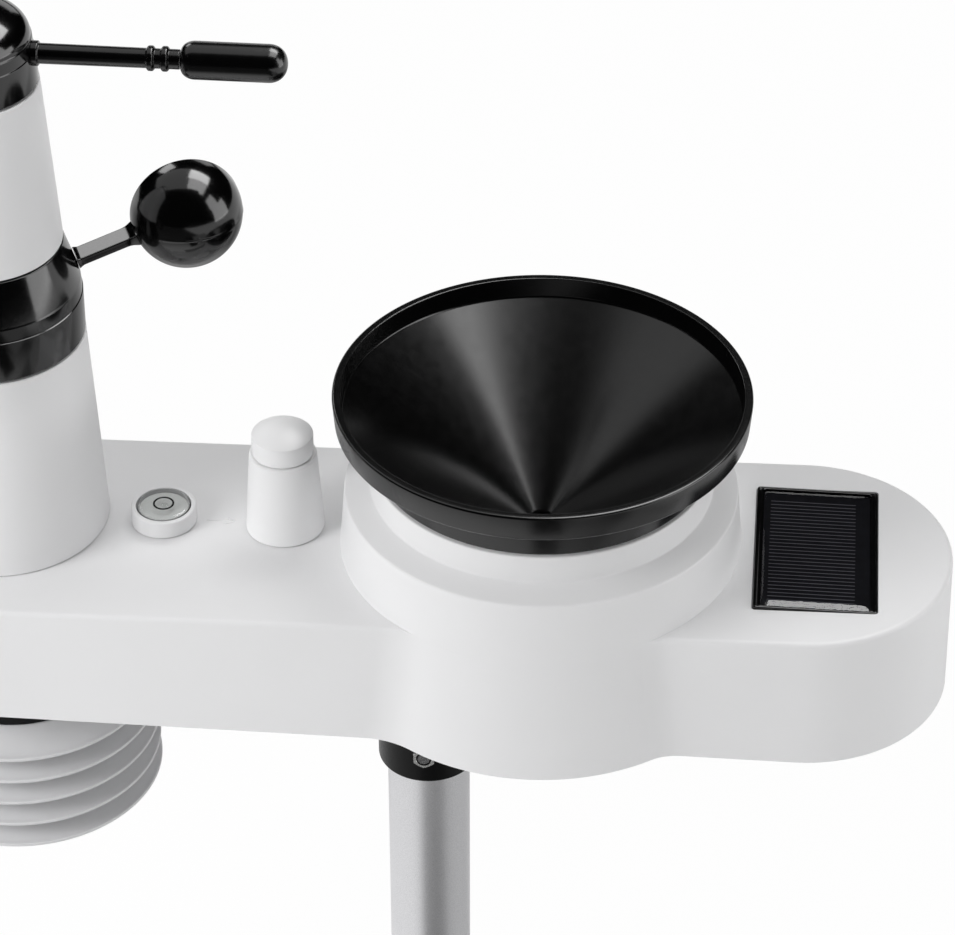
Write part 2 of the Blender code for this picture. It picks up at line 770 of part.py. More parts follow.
def front_prism(form, outline, low, high):
    # A prism along Y from an outline in X and Z.
    lower = [form.verts.new((x, low, z)) for x, z in outline]
    upper = [form.verts.new((x, high, z)) for x, z in outline]
    wall(form, lower, upper)
    form.faces.new(lower[::-1])
    form.faces.new(upper)


def tipping_bucket(white, black, steel, green):
    pivot = BASE_Z + PIVOT_HEIGHT
    axis = axis_frame("bucket_axis", (RAIN_X, 0, pivot), (0, BUCKET_TILT, 0))
    half = BUCKET_WIDTH / 2
    form = bmesh.new()
    left = bucket_outline(0, -1)
    right = bucket_outline(0, 1)
    front_prism(form, right + left[2:0:-1], -half, half)
    bucket = piece("tipping_bucket", form, black, axis)
    hub = bmesh.new()
    add_rod(hub, HUB_RADIUS, -half, half, 16, along_y())
    join(bucket, hub, "hub")
    scoops = bmesh.new()
    for side in (-1, 1):
        front_prism(scoops, bucket_outline(BUCKET_WALL, side), BUCKET_WALL - half, half - BUCKET_WALL)
    add_rod(scoops, AXLE_RADIUS + GAP, -half - OVER, half + OVER, 12, along_y())
    cut(bucket, scoops, "scoops")
    size = BUCKET_MAGNET
    low = (-size[0], -half - GAP - size[1], BUCKET_TALL / 2)
    block("bucket_magnet", low, (size[0], -half - GAP, BUCKET_TALL / 2 + size[2]), steel, axis)
    rest = axis_frame("bucket_frame_axis", (RAIN_X, 0, BASE_Z))
    floor = COVER_TOP + FRAME_FLOOR
    inner, outer = half + PLAY, half + PLAY + UPRIGHT
    deep = outer + GAP + 2 * BOARD
    form = bmesh.new()
    add_block(form, (-FRAME_HALF, -deep, COVER_TOP), (FRAME_HALF, deep, floor))
    holder = piece("bucket_frame", form, white, rest)
    posts = bmesh.new()
    for low, high in ((-outer, -inner), (inner, outer)):
        top = PIVOT_HEIGHT + UPRIGHT_OVER
        add_block(posts, (-UPRIGHT_HALF, low, floor - ROOT), (UPRIGHT_HALF, high, top))
    under = BUCKET_FLOOR + BUCKET_RISE * STOP_REACH / BUCKET_HALF
    stop_x = STOP_REACH * math.cos(BUCKET_TILT) + under * math.sin(BUCKET_TILT)
    slant = BUCKET_TILT - math.atan2(BUCKET_RISE, BUCKET_HALF)
    drop = STOP_REACH * math.sin(BUCKET_TILT) - under * math.cos(BUCKET_TILT)
    stop_top = PIVOT_HEIGHT - drop - 2 * GAP - STOP_HALF * abs(math.tan(slant))
    for side in (-1, 1):
        low = (side * stop_x - STOP_HALF, -STOP_HALF, floor - ROOT)
        add_block(posts, low, (side * stop_x + STOP_HALF, STOP_HALF, stop_top))
    join(holder, posts)
    pin = bmesh.new()
    place = at(0, 0, PIVOT_HEIGHT) @ along_y()
    add_rod(pin, AXLE_RADIUS + GAP, -outer - OVER, outer + OVER, 12, place)
    cut(holder, pin, "axle_holes")
    axle = bmesh.new()
    add_rod(axle, AXLE_RADIUS, -outer, outer, 12, along_y())
    piece("bucket_axle", axle, steel, axis)
    low = (-REED_HALF, -outer - GAP - BOARD, floor + GAP)
    block("rain_board", low, (REED_HALF, -outer - GAP, floor + GAP + REED_HEIGHT), green, rest)


def tower_radius(height):
    share = height / TOWER_HEIGHT
    return TOWER_FOOT_RADIUS + (TOWER_NECK_RADIUS - TOWER_FOOT_RADIUS) * share


def upper_radius(height):
    share = height / UPPER_HEIGHT
    return UPPER_FOOT_RADIUS + (UPPER_TOP_RADIUS - UPPER_FOOT_RADIUS) * share


def wind_tower(white, steel, green):
    foot = axis_frame("tower_axis", (TOWER_X, 0, FOOT_Z + GAP))
    plate = TOWER_HEIGHT - GAP
    under = plate - TOWER_WALL
    profile = [
        (tower_radius(0), 0),
        (TOWER_NECK_RADIUS, plate),
        (STEM_RADIUS + GAP, plate),
        (STEM_RADIUS + GAP, under),
        (tower_radius(under) - TOWER_WALL, under),
        (tower_radius(0) - TOWER_WALL, 0),
    ]
    turned("tower_lower", profile, white, foot, shear=TOP_SLOPE)
    step = UPPER_Z - FOOT_Z - 2 * GAP
    end = step + STEM_OVER
    seat = plate + GAP
    narrow = STEM_RADIUS - STEM_STEP
    profile = [
        (STEM_BORE, plate - STEM_BELOW),
        (STEM_RADIUS, plate - STEM_BELOW),
        (STEM_RADIUS, seat),
        (SHOULDER_RADIUS, seat),
        (SHOULDER_RADIUS, seat + SHOULDER),
        (STEM_RADIUS, seat + SHOULDER),
        (STEM_RADIUS, step),
        (narrow, step),
        (narrow, end),
        (STEM_BORE, end),
    ]
    turned("tower_stem", profile, steel, foot, 16)
    board = SHOULDER_RADIUS + GAP
    tube("wind_speed_board", board, SPEED_BOARD_RADIUS, seat, seat + BOARD, green, foot, 16)
    low = seat + SHOULDER + GAP
    inner, outer = STEM_RADIUS + GAP, HUB_BORE - GAP
    tube("rotor_bearing_lower", inner, outer, low, low + BEARING, steel, foot, 16)
    high = step - PLAY
    tube("rotor_bearing_upper", inner, outer, high - BEARING, high, steel, foot, 16)
    upper = axis_frame("upper_axis", (TOWER_X, 0, UPPER_Z))
    top = UPPER_HEIGHT
    profile = [
        (narrow + GAP, 0),
        (UPPER_FOOT_RADIUS, 0),
        (UPPER_TOP_RADIUS, top),
        (BUSH_RADIUS + GAP, top),
        (BUSH_RADIUS + GAP, top - WALL),
        (upper_radius(top - WALL) - TOWER_WALL, top - WALL),
        (upper_radius(TOWER_WALL) - TOWER_WALL, TOWER_WALL),
        (narrow + GAP, TOWER_WALL),
    ]
    turned("tower_upper", profile, white, upper)
    low = FOOT_Z + GAP + end + GAP - UPPER_Z
    disc("vane_board", VANE_BOARD_RADIUS, low, low + BOARD, green, upper, 16)
    return low + BOARD


def wind_rotor(black, steel):
    axis = axis_frame("rotor_axis", (TOWER_X, 0, ROTOR_Z))
    top = ROTOR_HEIGHT
    roof = top - TOWER_WALL
    foot = PLAY + SHOULDER + GAP
    collar = HUB_BORE + HUB_WALL
    profile = [
        (ROTOR_RADIUS - TOWER_WALL, 0),
        (ROTOR_RADIUS, 0),
        (ROTOR_RADIUS, ROTOR_RIDGE_HEIGHT - EDGE),
        (ROTOR_RIDGE, ROTOR_RIDGE_HEIGHT),
        (ROTOR_TOP_RADIUS, top),
        (HUB_BORE, top),
        (HUB_BORE, foot),
        (collar, foot),
        (collar, roof),
        (ROTOR_TOP_RADIUS - TOWER_WALL, roof),
        (ROTOR_RADIUS - TOWER_WALL, ROTOR_RIDGE_HEIGHT - EDGE),
    ]
    turned("rotor_hub", profile, black, axis)
    low = foot + ROOT
    ring = collar + GAP
    tube("rotor_magnet", ring, ring + MAGNET_WIDTH, low, low + MAGNET_HEIGHT, steel, axis, 16)
    for i in range(CUP_COUNT):
        wind_cup(f"wind_cup_{i + 1}", CUP_BEARING + math.tau * i / CUP_COUNT, black, axis)


def arm_section(form, place, half, thick):
    trim = thick / 2
    corners = [(half, thick - trim), (half - trim, thick), (trim - half, thick), (-half, thick - trim)]
    corners += [(-x, -z) for x, z in corners]
    return [form.verts.new(place @ Vector((0, y, z))) for y, z in corners]


def wind_cup(name, bearing, black, axis):
    # The arm leaves square to the hub's cone and meets the cup's wall; the cup opens sideways.
    lean = math.atan2(ROTOR_RIDGE - ROTOR_TOP_RADIUS, ROTOR_HEIGHT - ROTOR_RIDGE_HEIGHT)
    tilt = around(bearing) @ at(CUP_REACH, 0, CUP_RISE) @ Matrix.Rotation(-lean, 4, "Y")
    bowl = around(bearing) @ at(CUP_REACH, 0, CUP_RISE) @ Matrix.Rotation(math.pi / 2, 4, "X")
    quarter = [math.pi / 10 * i for i in range(6)]
    skin = CUP_RADIUS - CUP_WALL
    outside = [(CUP_RADIUS * math.cos(t), CUP_DEPTH * math.sin(t)) for t in quarter]
    inside = [(skin * math.cos(t), (CUP_DEPTH - CUP_WALL) * math.sin(t)) for t in quarter]
    outside[-1] = (0, CUP_DEPTH)
    inside[-1] = (0, CUP_DEPTH - CUP_WALL)
    rim = [(skin + CUP_FLARE, -CUP_SKIRT), (CUP_RADIUS + CUP_FLARE, -CUP_SKIRT)]
    form = bmesh.new()
    add_turned(form, rim + outside + inside[::-1], CUP_STEPS, bowl)
    cup = piece(name, form, black, axis)
    root_radius = ROTOR_TOP_RADIUS * math.cos(lean)
    root_radius += (ROTOR_HEIGHT - CUP_RISE) * math.sin(lean) + GAP
    near = root_radius - CUP_REACH * math.cos(lean)
    far = -(CUP_RADIUS - CUP_WALL + CUP_RADIUS) / 2
    arm = bmesh.new()
    sections = [
        (near, ARM_HALF + ARM_FLARE, ARM_THICK + ARM_FLARE),
        (near + 4 * ARM_FLARE, ARM_HALF, ARM_THICK),
        (far - 4 * ARM_FLARE, ARM_HALF, ARM_THICK),
        (far, ARM_HALF + ARM_FLARE, ARM_THICK + ARM_FLARE),
    ]
    rings = [arm_section(arm, tilt @ at(x, 0, 0), half, thick) for x, half, thick in sections]
    for first, second in zip(rings, rings[1:]):
        wall(arm, first, second)
    arm.faces.new(rings[0])
    arm.faces.new(rings[-1])
    join(cup, arm, "arm")


def dome(radius, low, high, steps):
    # Quarter ellipse from the rim (radius, low) to the top (0, high).
    turns = [math.pi / 2 * i / steps for i in range(steps)]
    points = [(radius * math.cos(t), low + (high - low) * math.sin(t)) for t in turns]
    return points + [(0, high)]


def crown(radius, low, high, steps):
    # Shallow spherical cap from its edge (radius, low) to its top (0, high).
    rise = high - low
    ball = (radius**2 + rise**2) / (2 * rise)
    edge = math.asin(radius / ball)
    turns = [edge * (1 - i / steps) for i in range(steps)]
    points = [(ball * math.sin(t), high - ball + ball * math.cos(t)) for t in turns]
    return points + [(0, high)]


def wind_vane(board_top, white, black, steel):
    axis = axis_frame("vane_axis", (TOWER_X, 0, CAP_Z))
    roof = CAP_HEIGHT - CAP_WALL
    inner = CAP_SHOULDER - CAP_WALL
    bore = SHAFT_RADIUS + GAP
    vault = dome(inner, CAP_SHOULDER_HEIGHT, roof, 3)[::-1]
    drop = roof - CAP_WALL
    profile = [
        (CAP_RADIUS - CAP_WALL, 0),
        (CAP_RADIUS, 0),
        (CAP_RIDGE, CAP_RIDGE_HEIGHT),
        *dome(CAP_SHOULDER, CAP_SHOULDER_HEIGHT, CAP_HEIGHT, 4),
        (0, SHAFT_SEAT),
        (bore, SHAFT_SEAT),
        (bore, CAP_HUB),
        (CAP_HUB, CAP_HUB),
        (CAP_HUB, drop),
        *vault[2:],
        (CAP_RIDGE - CAP_WALL, CAP_RIDGE_HEIGHT),
    ]
    turned("vane_cap", profile, black, axis)
    lower = UPPER_Z + board_top + SENSE_GAP - CAP_Z
    radius, height = VANE_MAGNET
    disc("vane_magnet", radius, lower, lower + height, steel, axis, 20)
    start = lower + height + GAP
    disc("vane_shaft", SHAFT_RADIUS, start, SHAFT_SEAT - GAP, steel, axis, 14)
    bush = axis_frame("bush_axis", (TOWER_X, 0, UPPER_Z))
    under = UPPER_HEIGHT - WALL - GAP
    profile = [
        (bore, under - BUSH_HEIGHT),
        (BUSH_FLANGE, under - BUSH_HEIGHT),
        (BUSH_FLANGE, under),
        (BUSH_RADIUS, under),
        (BUSH_RADIUS, UPPER_HEIGHT),
        (bore, UPPER_HEIGHT),
    ]
    turned("vane_bush", profile, white, bush, 16)
    arm = bmesh.new()
    place = at(0, 0, VANE_RISE) @ along_x()
    begin = CAP_RIDGE + 2 * GAP
    profile = [(0, begin), (VANE_COLLAR[0], begin), (VANE_COLLAR[0], begin + VANE_COLLAR[1])]
    profile += [(VANE_ROD, begin + VANE_COLLAR[1])]
    for reach in BEAD_REACH:
        profile += [(VANE_ROD, reach - BEAD_HALF), (BEAD_RADIUS, reach - BEAD_HALF / 2)]
        profile += [(BEAD_RADIUS, reach + BEAD_HALF / 2), (VANE_ROD, reach + BEAD_HALF)]
    profile += [(VANE_ROD, WEIGHT_START - GAP), (0, WEIGHT_START - GAP)]
    add_turned(arm, profile, 12, place)
    piece("vane_arm", arm, black, axis)
    weight = bmesh.new()
    nose = [(r, WEIGHT_END - WEIGHT_RADIUS + h) for r, h in dome(WEIGHT_RADIUS, 0, WEIGHT_RADIUS, 4)]
    shoulder = WEIGHT_START + WEIGHT_RADIUS / 2
    profile = [(0, WEIGHT_START), (VANE_ROD, WEIGHT_START), (WEIGHT_RADIUS, shoulder), *nose]
    add_turned(weight, profile, 16, place)
    piece("vane_counterweight", weight, black, axis)
    tail = bmesh.new()
    upper = [(begin, VANE_ROD), (TAIL_START, VANE_ROD), TAIL_FLARE, TAIL_TOP, TAIL_TIP]
    lower = [(TAIL_TOP[0], -TAIL_LOW), (TAIL_FLARE[0], -TAIL_FLARE[1]), (TAIL_START, -VANE_ROD), (begin, -VANE_ROD)]
    raised = [(-reach, z + VANE_RISE) for reach, z in upper + lower]
    front_prism(tail, raised, -TAIL_THICK / 2, TAIL_THICK / 2)
    piece("vane_tail", tail, black, axis)


def level(white, clear):
    foot = axis_frame("level_axis", (LEVEL_X, 0, BASE_Z + BODY_HEIGHT + TOP_SLOPE * LEVEL_X + GAP))
    bore = LEVEL_RADIUS - LEVEL_WALL
    profile = [
        (0, 0),
        (LEVEL_RADIUS, 0),
        (LEVEL_RADIUS, LEVEL_HEIGHT),
        (bore, LEVEL_HEIGHT),
        (bore, LEVEL_FLOOR),
        (0, LEVEL_FLOOR),
    ]
    turned("level_holder", profile, white, foot, 20, TOP_SLOPE)
    disc("level_vial", bore - GAP, LEVEL_FLOOR + GAP, LEVEL_HEIGHT - GAP, clear, foot, 20)


def light_sensor(white, diffuser, green):
    foot = axis_frame("light_axis", (LIGHT_X, 0, BASE_Z + BODY_HEIGHT + TOP_SLOPE * LIGHT_X + GAP))
    lip = LIGHT_BORE - LIGHT_WALL
    profile = [
        (LIGHT_FOOT_RADIUS, 0),
        (LIGHT_TOP_RADIUS, LIGHT_HEIGHT),
        (LIGHT_BORE, LIGHT_HEIGHT),
        (LIGHT_BORE, LIGHT_LEDGE),
        (lip, LIGHT_LEDGE),
        (lip, LIGHT_LEDGE - LIGHT_WALL),
        (LIGHT_FOOT_RADIUS - LIGHT_WALL, 0),
    ]
    turned("light_post", profile, white, foot, 20, TOP_SLOPE)
    radius = LIGHT_BORE - GAP
    disc("light_board", radius, LIGHT_LEDGE + GAP, LIGHT_LEDGE + GAP + BOARD, green, foot, 20)
    seat = LIGHT_HEIGHT + GAP
    spring = seat + DOME_SIDE
    end = seat - DOME_SPIGOT
    under = seat + DOME_HEIGHT - DOME_WALL
    hollow = crown(DOME_RADIUS - DOME_WALL, spring - DOME_WALL, under, 3)[::-1]
    profile = [
        (radius - DOME_WALL, end),
        (radius, end),
        (radius, seat),
        (DOME_RADIUS, seat),
        *crown(DOME_RADIUS, spring, seat + DOME_HEIGHT, 4),
        *hollow,
        (radius - DOME_WALL, seat),
    ]
    turned("light_dome", profile, diffuser, foot, 20)


def solar_panel(black, cell_blue, clear):
    place = solar_place()
    tilt = axis_frame("solar_axis", place.to_translation() + Vector((0, 0, BASE_Z)), (0, SOLAR_TILT, 0))
    x, y = SOLAR_HALF[0] - GAP, SOLAR_HALF[1] - GAP
    form = bmesh.new()
    add_block(form, (-x, -y, -TRAY_DEPTH), (x, y, 0))
    tray = piece("solar_tray", form, black, tilt)
    x, y = x - SOLAR_BORDER, y - SOLAR_BORDER
    floor = TRAY_FLOOR - TRAY_DEPTH
    bed = bmesh.new()
    add_block(bed, (-x, -y, floor), (x, y, OVER))
    cut(tray, bed, "bed")
    x, y = x - GAP, y - GAP
    sheet = floor + GAP + CELL_SHEET
    block("solar_cell", (-x, -y, floor + GAP), (x, y, sheet), cell_blue, tilt)
    block("solar_cover", (-x, -y, sheet + GAP), (x, y, -GAP), clear, tilt)


def plate_profile(bore):
    # Louvre: a flared skin falling from the neck to the lip, hollow side up.
    run = [i / 3 for i in range(4)]
    reach = [SHIELD_NECK + (SHIELD_RADIUS - SHIELD_NECK) * t for t in run]
    fall = [SHIELD_SKIN + (SHIELD_RISE - SHIELD_SKIN) * (1 - t) ** 1.4 for t in run]
    over = list(zip(reach, fall))
    under = [(r, z - SHIELD_SKIN) for r, z in over]
    return [(bore, SHIELD_RISE), *over, *under[::-1], (bore, SHIELD_RISE - SHIELD_SKIN)]


def rod_places():
    for i in range(3):
        yield around(math.tau * i / 3 + math.pi / 2) @ at(ROD_CIRCLE, 0)


def climate_shield(white, black, steel, green):
    foot = axis_frame("shield_axis", (TOWER_X, 0, BASE_Z))
    neck_low = SHIELD_FIRST + SHIELD_RISE + GAP
    neck = tube("shield_neck", SHIELD_BORE, SHIELD_NECK, neck_low, -GAP, black, foot, SHIELD_STEPS)
    pilots = bmesh.new()
    for place in rod_places():
        add_rod(pilots, ROD_RADIUS + GAP, neck_low - OVER, neck_low + ROD_BITE, 8, place)
    cut(neck, pilots, "pilots")
    base = SHIELD_FIRST - SHIELD_PITCH * (SHIELD_COUNT - 1)
    spacer = SHIELD_RISE - SHIELD_PITCH + GAP
    for i in range(SHIELD_COUNT):
        last = i == SHIELD_COUNT - 1
        form = bmesh.new()
        lip = at(0, 0, SHIELD_FIRST - SHIELD_PITCH * i)
        add_turned(form, plate_profile(0 if last else SHIELD_BORE), SHIELD_STEPS, lip)
        plate = piece(f"shield_plate_{i + 1}", form, white, foot)
        if not last:
            bosses = bmesh.new()
            for place in rod_places():
                add_rod(bosses, ROD_BOSS, spacer, SHIELD_RISE - SHIELD_SKIN / 2, 8, lip @ place)
            join(plate, bosses, "spacers")
        holes = bmesh.new()
        for place in rod_places():
            add_rod(holes, ROD_RADIUS + GAP, spacer - OVER, SHIELD_RISE + OVER, 8, lip @ place)
        cut(plate, holes, "rod_holes")
    seat = base + SHIELD_RISE - SHIELD_SKIN - GAP
    for i, place in enumerate(rod_places()):
        end = neck_low + ROD_BITE - GAP
        rod = bmesh.new()
        profile = [
            (0, seat - ROD_HEAD[1]),
            (ROD_HEAD[0], seat - ROD_HEAD[1]),
            (ROD_HEAD[0], seat),
            (ROD_RADIUS, seat),
            (ROD_RADIUS, end),
            (0, end),
        ]
        add_turned(rod, profile, 8, place)
        piece(f"shield_rod_{i + 1}", rod, steel, foot)
    low = (-CLIMATE_HALF, -BOARD / 2, -GAP - CLIMATE_LENGTH)
    block("climate_board", low, (CLIMATE_HALF, BOARD / 2, -GAP), green, foot)


def build():
    for old in list(bpy.data.objects):
        bpy.data.objects.remove(old)
    white = material("white_plastic", (0.82, 0.82, 0.80), 0.45)
    black = material("black_plastic", (0.012, 0.012, 0.013), 0.22)
    matte = material("matte_black", (0.02, 0.02, 0.02), 0.55)
    silver = material("anodised_aluminium", (0.75, 0.75, 0.74), 0.32, 1.0)
    steel = material("bright_steel", (0.62, 0.62, 0.60), 0.28, 1.0)
    clear = material("clear_plastic", (0.80, 0.84, 0.84), 0.08)
    diffuser = material("diffuser_plastic", (0.86, 0.86, 0.84), 0.5)
    green = material("circuit_board", (0.02, 0.16, 0.06), 0.4)
    cell_blue = material("solar_silicon", (0.012, 0.014, 0.02), 0.18)
    wrap = material("battery_wrap", (0.05, 0.06, 0.09), 0.35)
    station = axis_frame("station", (0, 0, 0))
    case = axis_frame("case_frame", (0, 0, BASE_Z))
    upper_case(case, white)
    bottom_cover(case, white, steel)
    battery_bay(case, white, steel, wrap)
    main_board(case, green, matte)
    mast(station, matte, silver, steel)
    rain_funnel(black)
    tipping_bucket(white, matte, steel, green)
    board_top = wind_tower(white, steel, green)
    wind_rotor(black, steel)
    wind_vane(board_top, white, black, steel)
    level(white, clear)
    light_sensor(white, diffuser, green)
    solar_panel(matte, cell_blue, clear)
    climate_shield(white, matte, steel, green)


build()
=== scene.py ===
import math
from types import SimpleNamespace

import bmesh
import bpy
import numpy as np
from mathutils import Matrix, Vector
from mathutils.geometry import tessellate_polygon


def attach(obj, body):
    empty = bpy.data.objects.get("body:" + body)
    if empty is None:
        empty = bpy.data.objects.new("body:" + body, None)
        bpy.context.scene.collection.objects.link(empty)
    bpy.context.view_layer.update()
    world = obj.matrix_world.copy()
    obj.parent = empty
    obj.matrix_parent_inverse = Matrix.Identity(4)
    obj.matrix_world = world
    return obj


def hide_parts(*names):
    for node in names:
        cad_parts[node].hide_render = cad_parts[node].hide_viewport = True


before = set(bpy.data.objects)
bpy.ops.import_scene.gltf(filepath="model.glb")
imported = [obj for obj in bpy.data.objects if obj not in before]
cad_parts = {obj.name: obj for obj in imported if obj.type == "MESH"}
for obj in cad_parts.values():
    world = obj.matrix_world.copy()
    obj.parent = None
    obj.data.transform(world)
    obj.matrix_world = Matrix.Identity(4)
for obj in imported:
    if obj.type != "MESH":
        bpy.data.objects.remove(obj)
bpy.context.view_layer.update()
print("frame loaded:", len(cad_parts), "nodes")

# tools that every piece uses


def named(*forms):
    # a piece's dictionary, read as form.name
    return [SimpleNamespace(**form) for form in forms]


def gridShell(points, wrapRows=False):
    # quad (r, c), (r, c+1), (r+1, c+1), (r+1, c) for every cell; the columns always close on themselves
    rows, cols = points.shape[:2]
    r, c = np.meshgrid(np.arange(rows - (not wrapRows)), np.arange(cols), indexing="ij")
    r2, c2 = (r + 1) % rows, (c + 1) % cols
    quads = np.stack([r * cols + c, r * cols + c2, r2 * cols + c2, r2 * cols + c], -1)
    return points.reshape(-1, 3), quads.reshape(-1, 4).tolist()


def boxCorners(x, y):
    return [(-x, -y), (x, -y), (x, y), (-x, y)]


def rounded(points, radius, steps=5, closed=True):
    # each corner gives way to an arc whose ends lie radius / tan(half the corner) from it
    points = np.asarray(points, float)
    count = len(points)
    radius = np.broadcast_to(radius, count)
    out = []
    for i in range(count):
        here = points[i]
        ends = not closed and i in (0, count - 1)
        if ends or radius[i] <= 0:
            out.append(here[None])
            continue
        before, after = points[i - 1] - here, points[(i + 1) % count] - here
        spanA, spanB = np.linalg.norm(before), np.linalg.norm(after)
        before, after = before / spanA, after / spanB
        half = math.acos(np.clip(before @ after, -1, 1)) / 2
        if half > 1.56:  # nearly a quarter turn: the two sides are one line
            out.append(here[None])
            continue
        reach = min(radius[i] / math.tan(half), 0.49 * min(spanA, spanB))  # under half of the shorter side
        size = reach * math.tan(half)
        middle = here + (before + after) / np.linalg.norm(before + after) * (size / math.sin(half))
        start, end = here + before * reach - middle, here + after * reach - middle
        a0 = math.atan2(start[1], start[0])
        sweep = math.remainder(math.atan2(end[1], end[0]) - a0, math.tau)
        turn = a0 + sweep * np.linspace(0, 1, steps + 1)
        out.append(middle + size * np.stack([np.cos(turn), np.sin(turn)], -1))
    return np.concatenate(out)


def placed(points, place):
    matrix = np.array(place)
    return points @ matrix[:3, :3].T + matrix[:3, 3]


def turned(profile, steps=96, axis=(0, 0, 0), place=None, lean=None):
    # (radius, height) -> (radius cos t, radius sin t, height), t once round; lean(x, height) adds to z
    profile = np.asarray(profile, float)
    turn = np.linspace(0, math.tau, steps, endpoint=False)
    x = profile[:, :1] * np.cos(turn)
    y = profile[:, :1] * np.sin(turn)
    z = np.repeat(profile[:, 1:2], steps, 1)
    if lean is not None:
        z = z + lean(x, z)
    points = np.stack([x, y, z], -1)
    if place is not None:
        points = placed(points, place)
    return gridShell(points + np.array(axis), True)


def leanBase(slope, over=0.004):
    # follows a sloping ground at height 0 and is upright again from height over
    return lambda x, z: slope * x * np.clip(1 - z / over, 0, 1)


def domeRun(radius, low, high, steps, power=2.0):
    # superellipse quarter from the rim (radius, low) to the top (0, high)
    t = np.linspace(0, math.pi / 2, steps)
    return np.stack([radius * np.cos(t) ** (2 / power), low + (high - low) * np.sin(t) ** (2 / power)], -1)


def swept(sections):
    # cross-sections carried along a path, capped with a point at the middle of each end
    caps = [np.repeat(sections[k].mean(0)[None], sections.shape[1], 0) for k in (0, -1)]
    return gridShell(np.concatenate([caps[0][None], sections, caps[1][None]]))


def flatFace(loops):
    # plane face with holes: the first loop is the outline, the rest are holes
    points = np.concatenate(loops)
    faces = tessellate_polygon([[Vector(p) for p in loop] for loop in loops])
    return points, [list(f) for f in faces]


def bridge(first, second):
    # strip between two closed rings of equal length
    return gridShell(np.stack([first, second]))


def addObject(name, data):
    made = bpy.data.objects.new(name, data)
    bpy.context.scene.collection.objects.link(made)
    return made


def putPiece(name, shells, finish, nodes, body="station", sharp=38):
    points, faces, at = [], [], 0
    for shellPoints, shellFaces in shells:
        points.append(shellPoints)
        faces += [[at + k for k in face] for face in shellFaces]
        at += len(shellPoints)
    mesh = bpy.data.meshes.new(name)
    mesh.from_pydata(np.concatenate(points).tolist(), [], faces)
    work = bmesh.new()
    work.from_mesh(mesh)
    bmesh.ops.remove_doubles(work, verts=work.verts, dist=1e-6)
    bmesh.ops.dissolve_degenerate(work, edges=work.edges, dist=1e-7)
    loose = [edge for edge in work.edges if not edge.link_faces]
    bmesh.ops.delete(work, geom=loose, context="EDGES")
    bmesh.ops.recalc_face_normals(work, faces=work.faces)
    work.to_mesh(mesh)
    work.free()
    mesh.polygons.foreach_set("use_smooth", np.ones(len(mesh.polygons), bool))
    mesh.set_sharp_from_angle(angle=math.radians(sharp))
    mesh.materials.append(finish)
    piece = addObject(name, mesh)
    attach(piece, body)
    if nodes:
        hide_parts(*nodes)


# finishes


def feed(tree, made, inputs):
    # a socket is linked, any other value is set
    for key, value in inputs.items():
        if isinstance(value, bpy.types.NodeSocket):
            tree.links.new(value, made.inputs[key])
        else:
            made.inputs[key].default_value = value


def node(tree, kind, inputs=None, **settings):
    made = tree.nodes.new("ShaderNode" + kind)
    for key, value in settings.items():
        setattr(made, key, value)
    feed(tree, made, inputs or {})
    return made


def newMaterial(name):
    made = bpy.data.materials.new(name)
    made.use_nodes = True
    tree = made.node_tree
    return made, tree, tree.nodes["Principled BSDF"]


def showSurface(tree, shader):
    feed(tree, tree.nodes["Material Output"], {"Surface": shader.outputs[0]})


def calc(tree, kind, *values):
    return node(tree, "Math", dict(enumerate(values)), operation=kind).outputs[0]


def objectPlace(tree):
    return node(tree, "TexCoord").outputs["Object"]


def noiseOn(tree, place, scale, detail=2.0):
    return node(tree, "TexNoise", {"Vector": place, "Scale": scale, "Detail": detail}).outputs["Fac"]


def spread(tree, value, low, high, fromLow=0.35, fromHigh=0.65):
    inputs = {"Value": value, "From Min": fromLow, "From Max": fromHigh, "To Min": low, "To Max": high}
    return node(tree, "MapRange", inputs).outputs["Result"]


def tinted(tree, factor, first, second):
    # first where the factor is 0, second where it is 1; first may come from another node
    if not isinstance(first, bpy.types.NodeSocket):
        first = (*first, 1)
    inputs = {"Factor": factor, "A": first, "B": (*second, 1)}
    return node(tree, "Mix", inputs, data_type="RGBA").outputs["Result"]


def mottled(tree, noise, first, second):
    return tinted(tree, spread(tree, noise, 0, 1), first, second)


def bumpOn(tree, height, distance):
    return node(tree, "Bump", {"Height": height, "Distance": distance}).outputs["Normal"]


def mouldedFinish(name, light, dark, rough, grain, depth, specular=0.5):
    # moulded plastic: cloudy colour a few centimetres wide, fine grain in roughness and height
    made, tree, shader = newMaterial(name)
    place = objectPlace(tree)
    cloud, fine = noiseOn(tree, place, 22, 3), noiseOn(tree, place, grain)
    feed(tree, shader, {
        "Base Color": mottled(tree, cloud, light, dark), "Roughness": spread(tree, fine, *rough, 0.3, 0.7),
        "Specular IOR Level": specular, "Normal": bumpOn(tree, fine, depth),
    })
    return made


def metalFinish(name, light, dark, rough, grain, depth):
    # blasted metal: a fine speckle in colour, roughness and height
    made, tree, shader = newMaterial(name)
    speck = noiseOn(tree, objectPlace(tree), grain)
    feed(tree, shader, {
        "Base Color": mottled(tree, speck, dark, light), "Roughness": spread(tree, speck, *rough, 0.3, 0.7),
        "Metallic": 1.0, "Normal": bumpOn(tree, speck, depth),
    })
    return made


